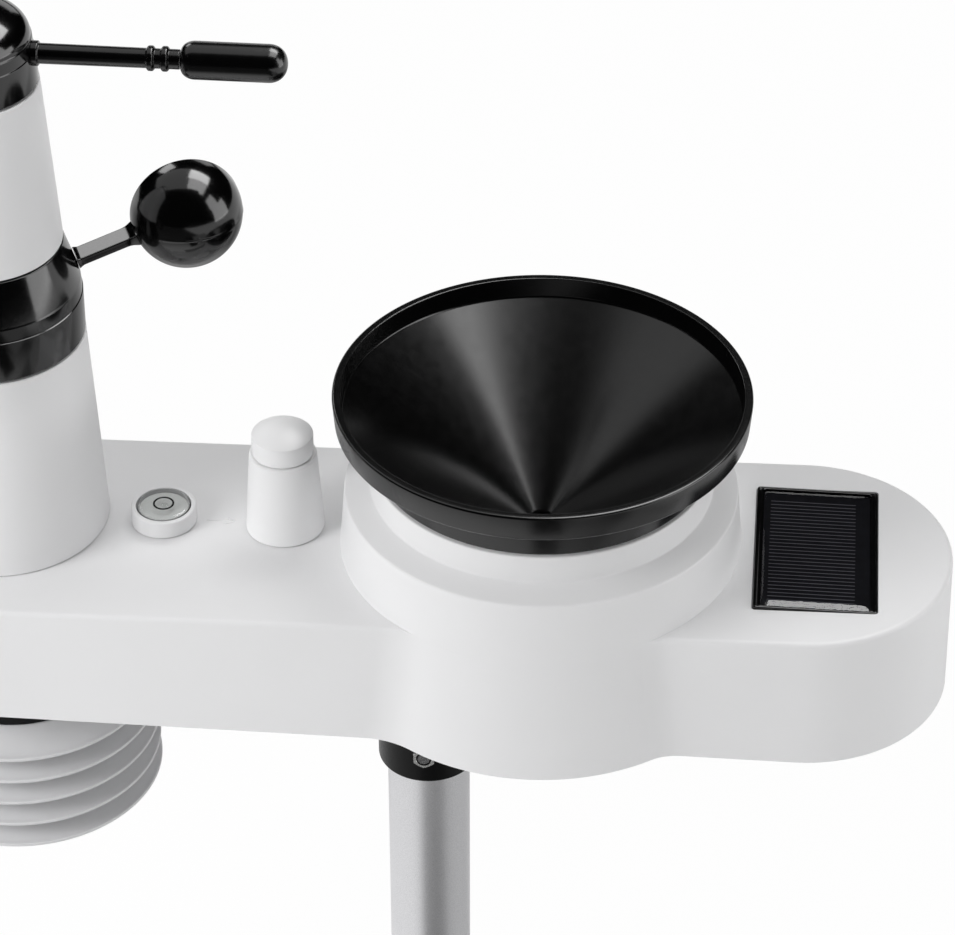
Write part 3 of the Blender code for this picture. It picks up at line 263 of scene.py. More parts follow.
def clearFinish(name, tint, rough, shine=0.04):
    # clear plastic: sight passes straight through with a tint; the outside shines by
    # shine + (1 - shine) * (1 - cos)^5, and the back of a surface doesn't shine
    made, tree, shader = newMaterial(name)
    cloud = noiseOn(tree, objectPlace(tree), 160)
    through = node(tree, "BsdfTransparent", {"Color": (*tint, 1)})
    glaze = node(tree, "BsdfGlossy", {"Roughness": spread(tree, cloud, rough, rough * 2.5)})
    facing = node(tree, "LayerWeight", {"Blend": 0.5}).outputs["Facing"]
    share = calc(tree, "MULTIPLY_ADD", calc(tree, "POWER", facing, 5.0), 1 - shine, shine)
    back = node(tree, "NewGeometry").outputs["Backfacing"]
    edge = calc(tree, "MULTIPLY", share, calc(tree, "SUBTRACT", 1.0, back))
    showSurface(tree, node(tree, "MixShader", {0: edge, 1: through.outputs[0], 2: glaze.outputs[0]}))
    tree.nodes.remove(shader)
    return made


def boardFinish(name, light, dark, trace):
    # lacquered circuit board: blotchy green with straight copper runs under the lacquer
    made, tree, shader = newMaterial(name)
    place = objectPlace(tree)
    cloud = noiseOn(tree, place, 120, 3)
    runs = {"Vector": place, "Scale": 160.0, "Mortar Size": 0.03, "Mortar": (1, 1, 1, 1)}
    runs |= {"Color1": (0, 0, 0, 1), "Color2": (0, 0, 0, 1)}
    bricks = node(tree, "TexBrick", runs).outputs["Color"]
    colour = tinted(tree, bricks, mottled(tree, cloud, light, dark), trace)
    feed(tree, shader, {"Base Color": colour, "Roughness": spread(tree, cloud, 0.3, 0.42)})
    return made


def fluidFinish(name, light, dark, rough):
    # pale fluid, faintly cloudy
    made, tree, shader = newMaterial(name)
    cloud = noiseOn(tree, objectPlace(tree), 300)
    feed(tree, shader, {"Base Color": mottled(tree, cloud, light, dark), "Roughness": rough})
    return made


whiteMould = mouldedFinish(
    "whiteMould", (0.85, 0.85, 0.857), (0.838, 0.838, 0.845),
    rough=(0.38, 0.48), grain=2600, depth=0.000008, specular=0.4)
# the case's white made lighter for the tower pieces: painted light lifting the shade that falls on them
towerWhiteLit = mouldedFinish(
    "towerWhiteLit", (0.87, 0.87, 0.877), (0.857, 0.857, 0.864),
    rough=(0.34, 0.44), grain=2600, depth=0.000008, specular=0.4)
# greyer than the case's white: partly a greyer plastic, partly painted shade from the case above the plates
shieldWhiteShaded = mouldedFinish(
    "shieldWhiteShaded", (0.72, 0.72, 0.73), (0.705, 0.705, 0.715),
    rough=(0.5, 0.6), grain=2400, depth=0.00001, specular=0.3)
# lighter than the case's white: painted light standing for light glowing through the milky dome and lifting the
# shade on the post
milkyWhiteLit = mouldedFinish(
    "milkyWhiteLit", (0.93, 0.93, 0.935), (0.918, 0.918, 0.923),
    rough=(0.36, 0.46), grain=2400, depth=0.000006, specular=0.4)
gloss = mouldedFinish(
    "blackGloss", (0.0016, 0.0016, 0.0017), (0.0012, 0.0012, 0.0013),
    rough=(0.11, 0.15), grain=900, depth=0.0000012, specular=0.65)
satinBlack = mouldedFinish(
    "blackSatin", (0.0024, 0.0024, 0.0026), (0.0018, 0.0018, 0.002),
    rough=(0.3, 0.4), grain=1500, depth=0.000003, specular=0.1)
coneBlack = mouldedFinish(
    "coneBlack", (0.0014, 0.0014, 0.0015), (0.0011, 0.0011, 0.0012),
    rough=(0.19, 0.22), grain=300, depth=0.0000002, specular=0.65)
matteBlack = mouldedFinish(
    "blackMatte", (0.008, 0.008, 0.008), (0.006, 0.006, 0.006),
    rough=(0.42, 0.55), grain=2200, depth=0.00001, specular=0.15)
# grey for the wall inside the vial: painted shade of the vial's recess
levelWallShade = mouldedFinish(
    "levelWallShade", (0.42, 0.42, 0.425), (0.39, 0.39, 0.395), rough=(0.35, 0.45), grain=2400, depth=0.000004)
cellWrap = mouldedFinish(
    "cellWrap", (0.045, 0.05, 0.075), (0.03, 0.034, 0.05), rough=(0.25, 0.36), grain=900, depth=0.000004)
satinMast = metalFinish(
    "satinMast", (0.8, 0.8, 0.815), (0.66, 0.66, 0.675), rough=(0.36, 0.44), grain=3600, depth=0.00003)
brightSteel = metalFinish(
    "brightSteel", (0.62, 0.62, 0.61), (0.54, 0.54, 0.53), rough=(0.2, 0.32), grain=2800, depth=0.000006)
# darker steel for the mast bolt: partly a darker zinc finish, partly painted shade under the case
darkSteelShaded = metalFinish(
    "darkSteelShaded", (0.3, 0.3, 0.305), (0.22, 0.22, 0.225), rough=(0.18, 0.3), grain=2200, depth=0.000008)
clearVial = clearFinish("clearVial", tint=(0.955, 0.96, 0.957), rough=0.012)
clearResin = clearFinish("clearResin", tint=(0.9, 0.9, 0.92), rough=0.02, shine=0.05)
paleFluid = fluidFinish("levelFluid", (0.78, 0.785, 0.78), (0.83, 0.835, 0.83), rough=0.25)
boardGreen = boardFinish("boardGreen", (0.016, 0.13, 0.05), (0.01, 0.09, 0.035), trace=(0.04, 0.2, 0.08))
print("finishes made")

# case: one moulding with a sloping top, a round turret and concave corners between them

caseForm = dict(
    baseZ=0.189, height=0.0443, slope=0.019, half=0.04714, spread=0.00096, midY=-0.0039, edge=0.0016,
    towerX=-0.13645, rainX=0.0367, endX=0.1204, ledgeR=0.0623, ledgeH=0.065, draft=0.0785,
    collarR=0.05427, collarFoot=0.068, collarTop=0.0775, collarTaper=0.0002, towerBlend=0.028, solarBlend=0.016,
    wall=0.0025, seatR=0.0515, lipR=0.049, lipH=0.0026, turretFrom=0.006, rounds=(0, 0.0011, 0.0008, 0.0006, 0),
    firstRow=0.0008, wallRows=5, edgeRows=9, endSteps=72, blendSteps=28, turretSteps=72,
)
solarForm = dict(
    x=0.12436, y=-0.0027, halfX=0.01965, halfY=0.0316, lift=0.0005, tilt=0.006, depth=0.0037, round=0.0012,
    roundSteps=6, pad=0.003,
)


def arc(x, y, radius, start, end, steps):
    turn = np.linspace(start, end, steps + 1)
    return np.stack([x + radius * np.cos(turn), y + radius * np.sin(turn)], -1)


def cornerBlend(c, edgeY, radius, fillet, side):
    # arc tangent to the bar's edge and to the turret circle, its centre outside both
    y = edgeY + math.copysign(fillet, edgeY)
    x = side * math.sqrt((radius + fillet) ** 2 - y**2)
    start = -math.copysign(math.pi / 2, edgeY)
    sweep = math.remainder(math.atan2(-y, -x) - start, math.tau)
    return arc(c.rainX + x, y, fillet, start, start + sweep, c.blendSteps)


def turretRun(c, first, last, radius):
    start = math.atan2(first[1], first[0] - c.rainX)
    sweep = (math.atan2(last[1], last[0] - c.rainX) - start) % math.tau
    return arc(c.rainX, 0, radius, start, start + sweep, c.turretSteps)[1:-1]


def casePlan(c, half, radius):
    # tower side, turret front, solar side, turret back, anticlockwise from above
    front, back = c.midY - half, c.midY + half
    towerSide = np.concatenate([
        cornerBlend(c, back, radius, c.towerBlend, -1)[::-1],
        arc(c.towerX, c.midY, half, math.pi / 2, 1.5 * math.pi, c.endSteps),
        cornerBlend(c, front, radius, c.towerBlend, -1),
    ])
    solarSide = np.concatenate([
        cornerBlend(c, front, radius, c.solarBlend, 1)[::-1],
        arc(c.endX, c.midY, half, -math.pi / 2, math.pi / 2, c.endSteps),
        cornerBlend(c, back, radius, c.solarBlend, 1),
    ])
    fore = turretRun(c, towerSide[-1], solarSide[0], radius)
    aft = turretRun(c, solarSide[-1], towerSide[0], radius)
    return towerSide, fore, solarSide, aft


def turretRadius(c, height):
    return c.ledgeR + c.draft * (c.ledgeH - height)


def topAt(c, x):
    # height of the sloping top at x
    return c.baseZ + c.height + c.slope * x


def lay(c, plan, height, slope):
    return np.column_stack([plan, c.baseZ + height + slope * plan[:, 0]])


def pocketLoop(s, c, grow, drop):
    # rounded rectangle of the solar pocket on its own tilted plane, drop below that plane
    loop = rounded(boxCorners(s.halfX + grow, s.halfY + grow), s.round, s.roundSteps)
    z = topAt(c, s.x) + s.lift - s.tilt * loop[:, 0] - drop
    return np.column_stack([loop[:, 0] + s.x, loop[:, 1] + s.y, z])


def onTop(c, loop, inset):
    return np.column_stack([loop[:, :2], topAt(c, loop[:, 0]) - inset])


def caseSkin(c, s, inset, rings, pocketGrow, pocketDrop):
    # wall rings up to the top fillet, the two plane faces of the top, and the turned turret
    top, edge = c.height - inset, c.edge
    radius = turretRadius(c, top - edge) - inset
    rows = []
    for height in [0.0, *np.linspace(c.firstRow, top - edge, c.wallRows)[:-1]]:
        half = c.half + c.spread * (1 - height / c.height) - inset
        plan = np.concatenate(casePlan(c, half, turretRadius(c, height) - inset))
        rows.append(lay(c, plan, height, c.slope * height / (top - edge)))
    for turn in np.linspace(0, math.pi / 2, c.edgeRows):
        draw = edge * (1 - math.cos(turn))
        last = casePlan(c, c.half - inset - draw, radius)
        rows.append(lay(c, np.concatenate(last), top - edge + edge * math.sin(turn), c.slope))
    shells = [gridShell(np.stack(rows))]
    hidden = [turretRun(c, last[k][0], last[k][-1], radius) for k in (0, 2)]
    hole = onTop(c, pocketLoop(s, c, pocketGrow, 0), inset)
    floor = pocketLoop(s, c, pocketGrow, pocketDrop)
    for side, run in zip((0, 2), hidden):
        loops = [lay(c, np.concatenate([last[side], run[::-1]]), top, c.slope)]
        if side == 2:
            loops.append(hole[::-1])
        shells.append(flatFace(loops))
    shells += [bridge(hole, floor), flatFace([floor])]
    circle = np.concatenate([
        last[0][-1:], last[1], last[2][:1], hidden[1], last[2][-1:], last[3], last[0][:1], hidden[0],
    ])
    middle = np.array([c.rainX, 0])
    direction = circle - middle
    direction /= np.linalg.norm(direction, axis=1)[:, None]
    stack = [lay(c, circle, top, c.slope)]
    stack += [lay(c, middle + direction * ringRadius, height, 0) for ringRadius, height in rings]
    shells.append(gridShell(np.stack(stack)))
    return shells, rows[0], stack[-1]


def buildCase(c, s):
    start = c.height + c.turretFrom
    corners = [
        (turretRadius(c, start), start), (c.ledgeR, c.ledgeH), (c.collarR, c.collarFoot),
        (c.collarR - c.collarTaper, c.collarTop), (c.lipR, c.collarTop),
    ]
    ledge = rounded(corners, c.rounds, 6, False)
    outer, footOut, lipOut = caseSkin(c, s, 0, ledge, 0, s.depth)
    inside = [
        (c.ledgeR - c.wall, c.ledgeH - c.wall), (c.seatR, c.collarFoot - c.wall),
        (c.seatR, c.collarTop - c.lipH), (c.lipR, c.collarTop - c.lipH),
    ]
    inner, footIn, lipIn = caseSkin(c, s, c.wall, inside, s.pad, s.depth + c.wall)
    shells = outer + inner + [bridge(footOut, footIn), bridge(lipOut, lipIn)]
    putPiece("caseShell", shells, whiteMould, ["upper_case"])


arrowForm = dict(
    half=0.0003, high=0.00026, sunk=0.0003, tip=0.02, rows=33, across=11, sharp=60,
    bars=(
        ((-0.0712, 0.0006), (-0.0628, 0.0006)),
        ((-0.065, 0.0024), (-0.0619, 0.0006)),
        ((-0.065, -0.0012), (-0.0619, 0.0006)),
    ),
)


def raisedBar(a, c, first, last):
    # half-round bar on the sloping top, (half cos t, high sin t) across, drawn in at its ends as a circle
    first, last = np.array(first), np.array(last)
    span = np.linalg.norm(last - first)
    along = (last - first) / span
    side = np.array([-along[1], along[0]])
    run = span * (1 - np.cos(np.linspace(0, math.pi, a.rows))) / 2
    end = np.clip(np.minimum(run, span - run) / a.half, a.tip, 1)
    size = np.sqrt(1 - (1 - end) ** 2)[:, None]
    turn = np.linspace(0, math.pi, a.across)
    across = np.concatenate([a.half * np.cos(turn), [-a.half, a.half]])
    rise = np.concatenate([a.high * np.sin(turn), [-a.sunk, -a.sunk]])
    flat = first + along * run[:, None, None] + side * (across * size)[..., None]
    z = topAt(c, flat[..., 0]) + np.where(rise > 0, rise * size, rise)
    return swept(np.concatenate([flat, z[..., None]], -1))


def buildArrow(a, c):
    shells = [raisedBar(a, c, *bar) for bar in a.bars]
    putPiece("caseArrow", shells, whiteMould, [], sharp=a.sharp)


buildCase(*named(caseForm, solarForm))
buildArrow(*named(arrowForm, caseForm))
print("case built")

# wind tower and cups

towerForm = dict(
    x=-0.13645, foot=0.2310075, footR=0.03349, neckR=0.03027, height=0.0716, wall=0.002, stem=0.0093,
    leanOver=0.01, rounds=(0.0003, 0.0006, 0.0002, 0.0002, 0.0006, 0.0003), steps=144,
    upperZ=0.3366075, upperFootR=0.02542, upperTopR=0.02223, upperHeight=0.0558, bush=0.0043, bushDeep=0.0025,
    innerStem=0.0083, footRound=0.0004, headRounds=(0, 0.0005, 0.0002, 0.0002, 0.0005, 0.0005, 0),
    upperRows=57, upperSteps=240, dimpleTurn=-0.07, dimpleZ=0.0512, dimpleWide=0.0011, dimpleTall=0.75,
    dimpleDeep=0.0005, skinFrom=0.0215,
)


def buildTower(t, slope):
    under = t.height - t.wall
    corners = [
        (t.footR, 0), (t.neckR, t.height), (t.stem, t.height), (t.stem, under), (t.neckR - t.wall, under),
        (t.footR - t.wall, 0),
    ]
    profile = rounded(corners, t.rounds, 5)
    lower = turned(profile, t.steps, (t.x, 0, t.foot), lean=leanBase(slope, t.leanOver))
    putPiece("towerLower", [lower], towerWhiteLit, ["tower_lower"])
    # upper cone, with a dimple dimpleDeep * exp(-(distance / dimpleWide)^2) pressed into its outside
    top, bed, share = t.upperHeight, t.upperHeight - t.bushDeep, np.linspace(0, 1, t.upperRows)
    side = np.column_stack([t.upperFootR + (t.upperTopR - t.upperFootR) * share, top * share])
    foot = rounded([(t.innerStem, 0), side[0], side[1]], [0, t.footRound, 0], 4, False)
    corners = [
        side[-2], side[-1], (t.bush, top), (t.bush, bed), (t.upperTopR - t.wall, bed),
        (t.upperFootR - t.wall, t.wall), (t.innerStem, t.wall),
    ]
    head = rounded(corners, t.headRounds, 4, False)
    points, faces = turned(np.concatenate([foot[:-1], side[1:-1], head[1:]]), t.upperSteps)
    turn = np.arctan2(points[:, 1], points[:, 0]) - t.dimpleTurn
    reach = np.hypot(points[:, 0], points[:, 1])
    rise = t.dimpleTall * (points[:, 2] - t.dimpleZ)
    near = ((reach * turn) ** 2 + rise**2) / t.dimpleWide**2
    push = np.where(reach > t.skinFrom, t.dimpleDeep * np.exp(-near), 0)
    points[:, :2] *= (1 - push / np.maximum(reach, 1e-6))[:, None]
    points += np.array([t.x, 0, t.upperZ])
    putPiece("towerUpper", [(points, faces)], towerWhiteLit, ["tower_upper"])


rotorForm = dict(
    x=-0.13645, z=0.3032075, height=0.0328, radius=0.0302, bulge=0.0001, ridgeR=0.0296, ridgeH=0.0189,
    ridgeOut=0.0002, ridgeDrop=0.0006, bandH=0.0142, bandR=0.0301, topR=0.0254, bore=0.0126, hub=0.015, wall=0.002,
    foot=0.0024, innerDrop=0.0015, grooveDeep=0.00012, grooveHalf=0.00018, slopeR=0.0293, slopeH=0.019, steps=144,
    rounds=(0.0002, 0.0005, 0.0001, 0, 0, 0.0001, 0.0002, 0.0003, 0.0005, 0.0003, 0, 0, 0, 0, 0),
)
cupForm = dict(
    turn=22.0, count=3, reach=0.0648, rise=0.0308, radius=0.0175, depth=0.017, skirt=0.003, wall=0.0015,
    rimRound=0.0006, seam=0.00014, seamWide=0.00022, rows=40, steps=120, sharp=50,
    armHalf=0.00375, armThick=0.0013, armFlare=0.0007, armEdge=0.0004, armFlat=2.1, armRows=41, gap=0.0003,
    rootShare=0.5, rootReach=0.001, tipReach=0.002,
)


def buildRotor(r):
    roof, skin = r.height - r.wall, r.radius - r.wall
    groove, deep = r.grooveHalf, r.bandR - r.grooveDeep
    corners = [
        (skin, 0), (r.radius, 0), (r.radius + r.bulge, r.bandH - 2 * groove), (deep, r.bandH - groove),
        (deep, r.bandH), (r.bandR, r.bandH + groove), (r.ridgeR + r.ridgeOut, r.ridgeH - r.ridgeDrop),
        (r.ridgeR, r.ridgeH), (r.topR, r.height), (r.bore, r.height), (r.bore, r.foot), (r.hub, r.foot),
        (r.hub, roof), (r.topR - r.wall, roof), (skin, r.ridgeH - r.innerDrop),
    ]
    profile = rounded(corners, r.rounds, 5)
    putPiece("rotorHub", [turned(profile, r.steps, (r.x, 0, r.z))], gloss, ["rotor_hub"], "rotor")


def cupBowl(c, place):
    # outside: (R cos t, D sin t) in half-planes round the cup's axis, closed by the inside wall;
    # a fine moulding seam stands proud where the half-plane is level
    quarter = np.linspace(0, math.pi / 2, c.rows)
    skin, deep = c.radius - c.wall, c.depth - c.wall
    outside = np.stack([c.radius * np.cos(quarter), c.depth * np.sin(quarter)], -1)
    inside = np.stack([skin * np.cos(quarter), deep * np.sin(quarter)], -1)[::-1]
    corners = [inside[-1], (skin, -c.skirt), (c.radius, -c.skirt), outside[0]]
    rim = rounded(corners, [0, c.rimRound, c.rimRound, 0], 5, False)[1:-1]
    profile = np.concatenate([outside, inside, rim])
    points, faces = turned(profile, c.steps)
    outer = np.repeat(np.arange(len(profile)) < len(outside), c.steps)
    lift = outer * c.seam * np.exp(-((points[:, 1] / c.seamWide) ** 2))
    size = np.linalg.norm(points, axis=-1)
    points = points * (1 + lift / np.maximum(size, 1e-6))[:, None]
    return placed(points, place), faces


def cupArm(c, r, place, lean):
    # blade: width and thickness grow at both ends as flare * exp(-(distance / reach)^2), edges rounded
    root = r.topR * math.cos(lean) + (r.height - c.rise) * math.sin(lean) + c.gap
    start, end = root - c.reach * math.cos(lean), -(c.radius - c.wall / 2)
    along = start + (end - start) * (1 - np.cos(np.linspace(0, math.pi, c.armRows))) / 2
    swell = np.exp(-(((along - start) / c.rootReach) ** 2)) * c.rootShare
    swell = swell + np.exp(-(((along - end) / c.tipReach) ** 2))
    half, thick = c.armHalf + c.armFlare * swell, c.armThick + c.armFlare * swell
    sections = []
    for x, wide, high in zip(along, half, thick):
        flat = wide - c.armFlat * c.armEdge
        corners = [(-wide, -high), (-flat, -high), (flat, -high), (wide, -high)]
        corners += [(wide, high), (flat, high), (-flat, high), (-wide, high)]
        loop = rounded(corners, c.armEdge, 5)
        sections.append(np.column_stack([np.full(len(loop), x), loop]))
    return swept(placed(np.stack(sections), place))


def buildCups(c, r):
    lean = math.atan2(r.slopeR - r.topR, r.height - r.slopeH)
    for i in range(c.count):
        turn = Matrix.Rotation(math.radians(c.turn + 360 * i / c.count), 4, "Z")
        centre = Matrix.Translation((r.x, 0, r.z)) @ turn @ Matrix.Translation((c.reach, 0, c.rise))
        bowl = cupBowl(c, centre @ Matrix.Rotation(math.pi / 2, 4, "X"))
        arm = cupArm(c, r, centre @ Matrix.Rotation(-lean, 4, "Y"), lean)
        name = f"wind_cup_{i + 1}"
        putPiece(f"windCup{i + 1}", [bowl, arm], gloss, [name], "rotor", c.sharp)


buildTower(*named(towerForm), caseForm["slope"])
buildRotor(*named(rotorForm))
buildCups(*named(cupForm, rotorForm))
print("tower and cups built")

# wind vane

vaneForm = dict(
    x=-0.13645, z=0.3930075, skirtR=0.022, ridgeR=0.0214, ridgeH=0.0106, ridgeIn=0.00022, ridgeDrop=0.0003,
    shoulderR=0.0206, shoulderH=0.0146, shoulderOut=0.0003, shoulderDrop=0.0004, height=0.0252, wall=0.0022,
    rounds=(0.0002, 0.0005, 0.0002, 0.0002, 0.0003, 0), capSteps=144,
    armZ=0.01, rod=0.003, begin=0.022, sunk=0.0012, collarR=0.0038, collarLong=0.001, collarFoot=0.0001,
    collarRounds=(0, 0.0004, 0.0006, 0.0003), beads=(0.0564, 0.0607), beadR=0.0038, beadHalf=0.0013, beadFlat=0.55,
    beadRounds=(0.0003, 0.0007, 0.0007, 0.0003), endRounds=(0.0002, 0), gap=0.0003, rodSteps=64,
    weightStart=0.0654, weightEnd=0.0971, weightR=0.00575, nosePower=2.15, backR=0.0026, backLong=0.0042,
    weightSteps=72,
)
tailForm = dict(
    neck=0.042, fin=((-0.062, 0.012), (-0.092, 0.023), (-0.097, 0.021), (-0.092, -0.017), (-0.062, -0.012)),
    rounds=(0, 0, 0.02, 0.02, 0.002, 0.002, 0.002, 0.02, 0.02), roundSteps=10, thick=0.0024, edge=0.0009,
    edgeRows=13, leastReach=0.004,
)


def buildCap(v):
    crown = domeRun(v.shoulderR, v.shoulderH, v.height, 40)
    vault = domeRun(v.shoulderR - v.wall, v.shoulderH, v.height - v.wall, 12)[::-1]
    corners = [
        (v.skirtR - v.wall, 0), (v.skirtR, 0), (v.ridgeR, v.ridgeH - v.ridgeDrop),
        (v.ridgeR - v.ridgeIn, v.ridgeH), (v.shoulderR + v.shoulderOut, v.shoulderH - v.shoulderDrop), crown[0],
    ]
    side = rounded(corners, v.rounds, 5, False)
    profile = np.concatenate([side[:-1], crown, vault[2:], [(v.ridgeR - v.wall, v.ridgeH)]])
    putPiece("vaneCap", [turned(profile, v.capSteps, (v.x, 0, v.z))], gloss, ["vane_cap"], "vane")


def buildArm(v):
    # rod with a collar and two beads, then a capsule whose back is a small dome and whose nose a fuller one
    place = Matrix.Translation((v.x, 0, v.z + v.armZ)) @ Matrix.Rotation(math.pi / 2, 4, "Y")
    start, step, end = v.begin - v.sunk, v.begin + v.collarLong, v.weightStart - v.gap
    rod = [(0, start), (v.collarR, start), (v.collarR, step), (v.rod + v.collarFoot, step)]
    radii = [*v.collarRounds]
    for bead in v.beads:
        wide, flat = v.beadHalf, v.beadFlat * v.beadHalf
        rod += [(v.rod, bead - wide), (v.beadR, bead - flat), (v.beadR, bead + flat), (v.rod, bead + wide)]
        radii += v.beadRounds
    rod += [(v.rod, end), (0, end)]
    profile = rounded(rod, [*radii, *v.endRounds], 6, False)
    shell = turned(profile, v.rodSteps, place=place)
    putPiece("vaneArm", [shell], coneBlack, ["vane_arm"], "vane")
    nose = domeRun(v.weightR, v.weightEnd - v.weightR, v.weightEnd, 24, v.nosePower)
    back = domeRun(v.weightR - v.backR, 0, v.backLong, 16)[::-1]
    back = np.stack([v.backR + back[:, 0], v.weightStart + v.backLong - back[:, 1]], -1)
    shell = turned(np.concatenate([[(0, v.weightStart)], back, nose]), v.weightSteps, place=place)
    putPiece("vaneWeight", [shell], coneBlack, ["vane_counterweight"], "vane")


def buildTail(t, v):
    # fin: the CAD outline with softened corners, its thickness falling to the edges as a lens
    outline = [(-v.begin, -v.rod), (-v.begin, v.rod), (-t.neck, v.rod)]
    outline += [*t.fin, (-t.neck, -v.rod)]
    soft = rounded(outline, t.rounds, t.roundSteps)
    middle = soft.mean(0)
    reach = np.maximum(np.linalg.norm(soft - middle, axis=1), t.leastReach)
    rings = []
    for turn in np.linspace(0, math.pi, t.edgeRows):
        draw = 1 - t.edge * (1 - math.sin(turn)) / reach
        flat = middle + (soft - middle) * draw[:, None]
        y = np.full(len(flat), -t.thick / 2 * math.cos(turn))
        rings.append(np.stack([flat[:, 0] + v.x, y, flat[:, 1] + v.z + v.armZ], -1))
    shells = [gridShell(np.stack(rings)), flatFace([rings[0]]), flatFace([rings[-1]])]
    putPiece("vaneTail", shells, gloss, ["vane_tail"], "vane")


buildCap(*named(vaneForm))
buildArm(*named(vaneForm))
buildTail(*named(tailForm, vaneForm))
print("vane built")

# rain funnel

funnelForm = dict(
    x=0.0367, base=0.189, rimZ=0.101, rimR=0.0655, taper=0.0007, band=0.0085, innerR=0.0628, innerTaper=0.0002,
    depth=0.0068, slope=0.7386, skirtR=0.0532, seat=0.0778, wall=0.002, spigotR=0.0484, spigotDrop=0.0085,
    outletR=0.0042, outletLong=0.004, steps=240,
    rounds=(
        0.0007, 0.0003, 0.0012, 0.0012, 0.0003, 0.0003, 0, 0, 0, 0, 0.0003, 0.0003, 0, 0.0006, 0.0006, 0.001, 0.0008,
    ),
)


def buildFunnel(f):
    # cone: height = coneTop - slope * (innerR - radius), its underside the wall's thickness away
    coneTop = f.rimZ - f.depth
    skin = f.wall * math.hypot(1, f.slope)
    cone = lambda radius: coneTop - f.slope * (f.innerR - radius)
    inside, neck, hollow = f.skirtR - f.wall, f.outletR + f.wall, f.spigotR - f.wall
    outlet, end, seat = cone(f.outletR) - f.outletLong, f.seat - f.spigotDrop, f.seat + f.wall
    profile = [
        (f.rimR, f.rimZ), (f.innerR, f.rimZ), (f.innerR - f.innerTaper, coneTop),
        (f.outletR, cone(f.outletR)), (f.outletR, outlet), (neck, outlet), (neck, cone(neck) - skin),
        (inside, cone(inside) - skin), (inside, seat), (hollow, seat), (hollow, end), (f.spigotR, end),
        (f.spigotR, f.seat), (f.skirtR, f.seat), (f.skirtR, cone(f.skirtR) - skin),
        (f.innerR, coneTop - skin), (f.rimR - f.taper, f.rimZ - f.band),
    ]
    shell = turned(rounded(profile, f.rounds, 6), f.steps, (f.x, 0, f.base))
    putPiece("rainFunnel", [shell], coneBlack, ["rain_funnel"], "funnel")


buildFunnel(*named(funnelForm))
print("funnel built")

# level and light sensor

levelForm = dict(
    x=-0.0847, z=0.2319907, radius=0.01057, height=0.0059, wall=0.0017, boreTaper=0.0002, floor=0.0015,
    rounds=(0, 0.0003, 0.0014, 0.0003, 0.0004, 0), gap=0.0003, steps=120, fineSteps=96,
    vialR=0.0084, vialTop=0.0062, vialDeep=0.0015, vialGap=0.0002, vialRounds=(0, 0.0002, 0.0003, 0),
    lensShare=0.92, lensFoot=0.0002, lensTop=0.0004, wallIn=0.0006, wallOut=0.0001, wallRound=0.00003,
    ringR=0.0031, ringWide=0.00032, ringHigh=0.00014, ringRound=0.00004,
    bubbleR=0.0013, bubbleAt=(0.0003, -0.0003), bubbleFoot=0.0006, bubbleTop=0.0002, bubbleSteps=48,
)
lightForm = dict(
    x=-0.0454, z=0.2327374, footR=0.01265, topR=0.01075, height=0.0286, bore=0.0086, ledge=0.023, wall=0.002,
    rounds=(0.0003, 0.0009, 0.0003, 0, 0, 0, 0.0003), gap=0.0003, steps=120,
    domeR=0.0098, domeHigh=0.0098, domeSide=0.0068, domeWall=0.0013, spigot=0.0034,
    domeRounds=(0, 0, 0, 0, 0.0005, 0.0004, 0), crownSteps=30, crownFrom=3, vaultSteps=12,
)


def buildLevel(v, slope):
    axis = (v.x, 0, v.z)
    bore = v.radius - v.wall
    corners = [
        (0, 0), (v.radius, 0), (v.radius, v.height), (bore, v.height), (bore - v.boreTaper, v.floor),
        (0, v.floor),
    ]
    profile = rounded(corners, v.rounds, 9)
    shell = turned(profile, v.steps, axis, lean=leanBase(slope))
    putPiece("levelHolder", [shell], whiteMould, ["level_holder"])
    high, edge = v.vialTop, v.vialR
    bed, lens, spring = high - v.vialDeep, edge * v.lensShare, high + v.lensFoot
    foot = bed + v.vialGap
    profile = np.concatenate([
        rounded([(0, foot), (edge, foot), (edge, high), (lens, spring)], v.vialRounds, 5, False),
        domeRun(lens, spring, high + v.lensTop, 16)[1:],
    ])
    putPiece("levelVial", [turned(profile, v.steps, axis)], clearVial, ["level_vial"])
    low, wide, soft = v.floor + v.gap, edge - v.gap, v.gap
    fluid = rounded([(0, low), (wide, low), (wide, bed), (0, bed)], [0, soft, soft, 0], 5)
    putPiece("levelFluid", [turned(fluid, v.fineSteps, axis)], paleFluid, [])
    # grey wall inside the vial: painted shade of its recess
    outer = edge - v.wallOut
    wall = rounded([(edge - v.wallIn, bed), (outer, bed), (outer, v.height)], v.wallRound, 3)
    putPiece("levelWall", [turned(wall, v.fineSteps, axis)], levelWallShade, [])
    inner, outer, rise = v.ringR - v.ringWide, v.ringR + v.ringWide, high + v.ringHigh
    ring = rounded([(inner, high), (outer, high), (outer, rise), (inner, rise)], v.ringRound, 3)
    putPiece("levelRing", [turned(ring, v.fineSteps, axis)], matteBlack, [])
    foot = high - v.bubbleFoot
    bubble = np.concatenate([domeRun(v.bubbleR, foot, high - v.bubbleTop, 10), [(0, foot)]])
    x, y = v.bubbleAt
    putPiece("levelBubble", [turned(bubble, v.bubbleSteps, (v.x + x, y, v.z))], clearVial, [])


def capRun(radius, low, high, steps):
    # spherical cap of base radius and rise (high - low): R = (radius^2 + rise^2) / (2 rise)
    rise = high - low
    big = (radius**2 + rise**2) / (2 * rise)
    turn = np.linspace(math.asin(radius / big), 0, steps + 1)
    return np.column_stack([big * np.sin(turn), high - big + big * np.cos(turn)])


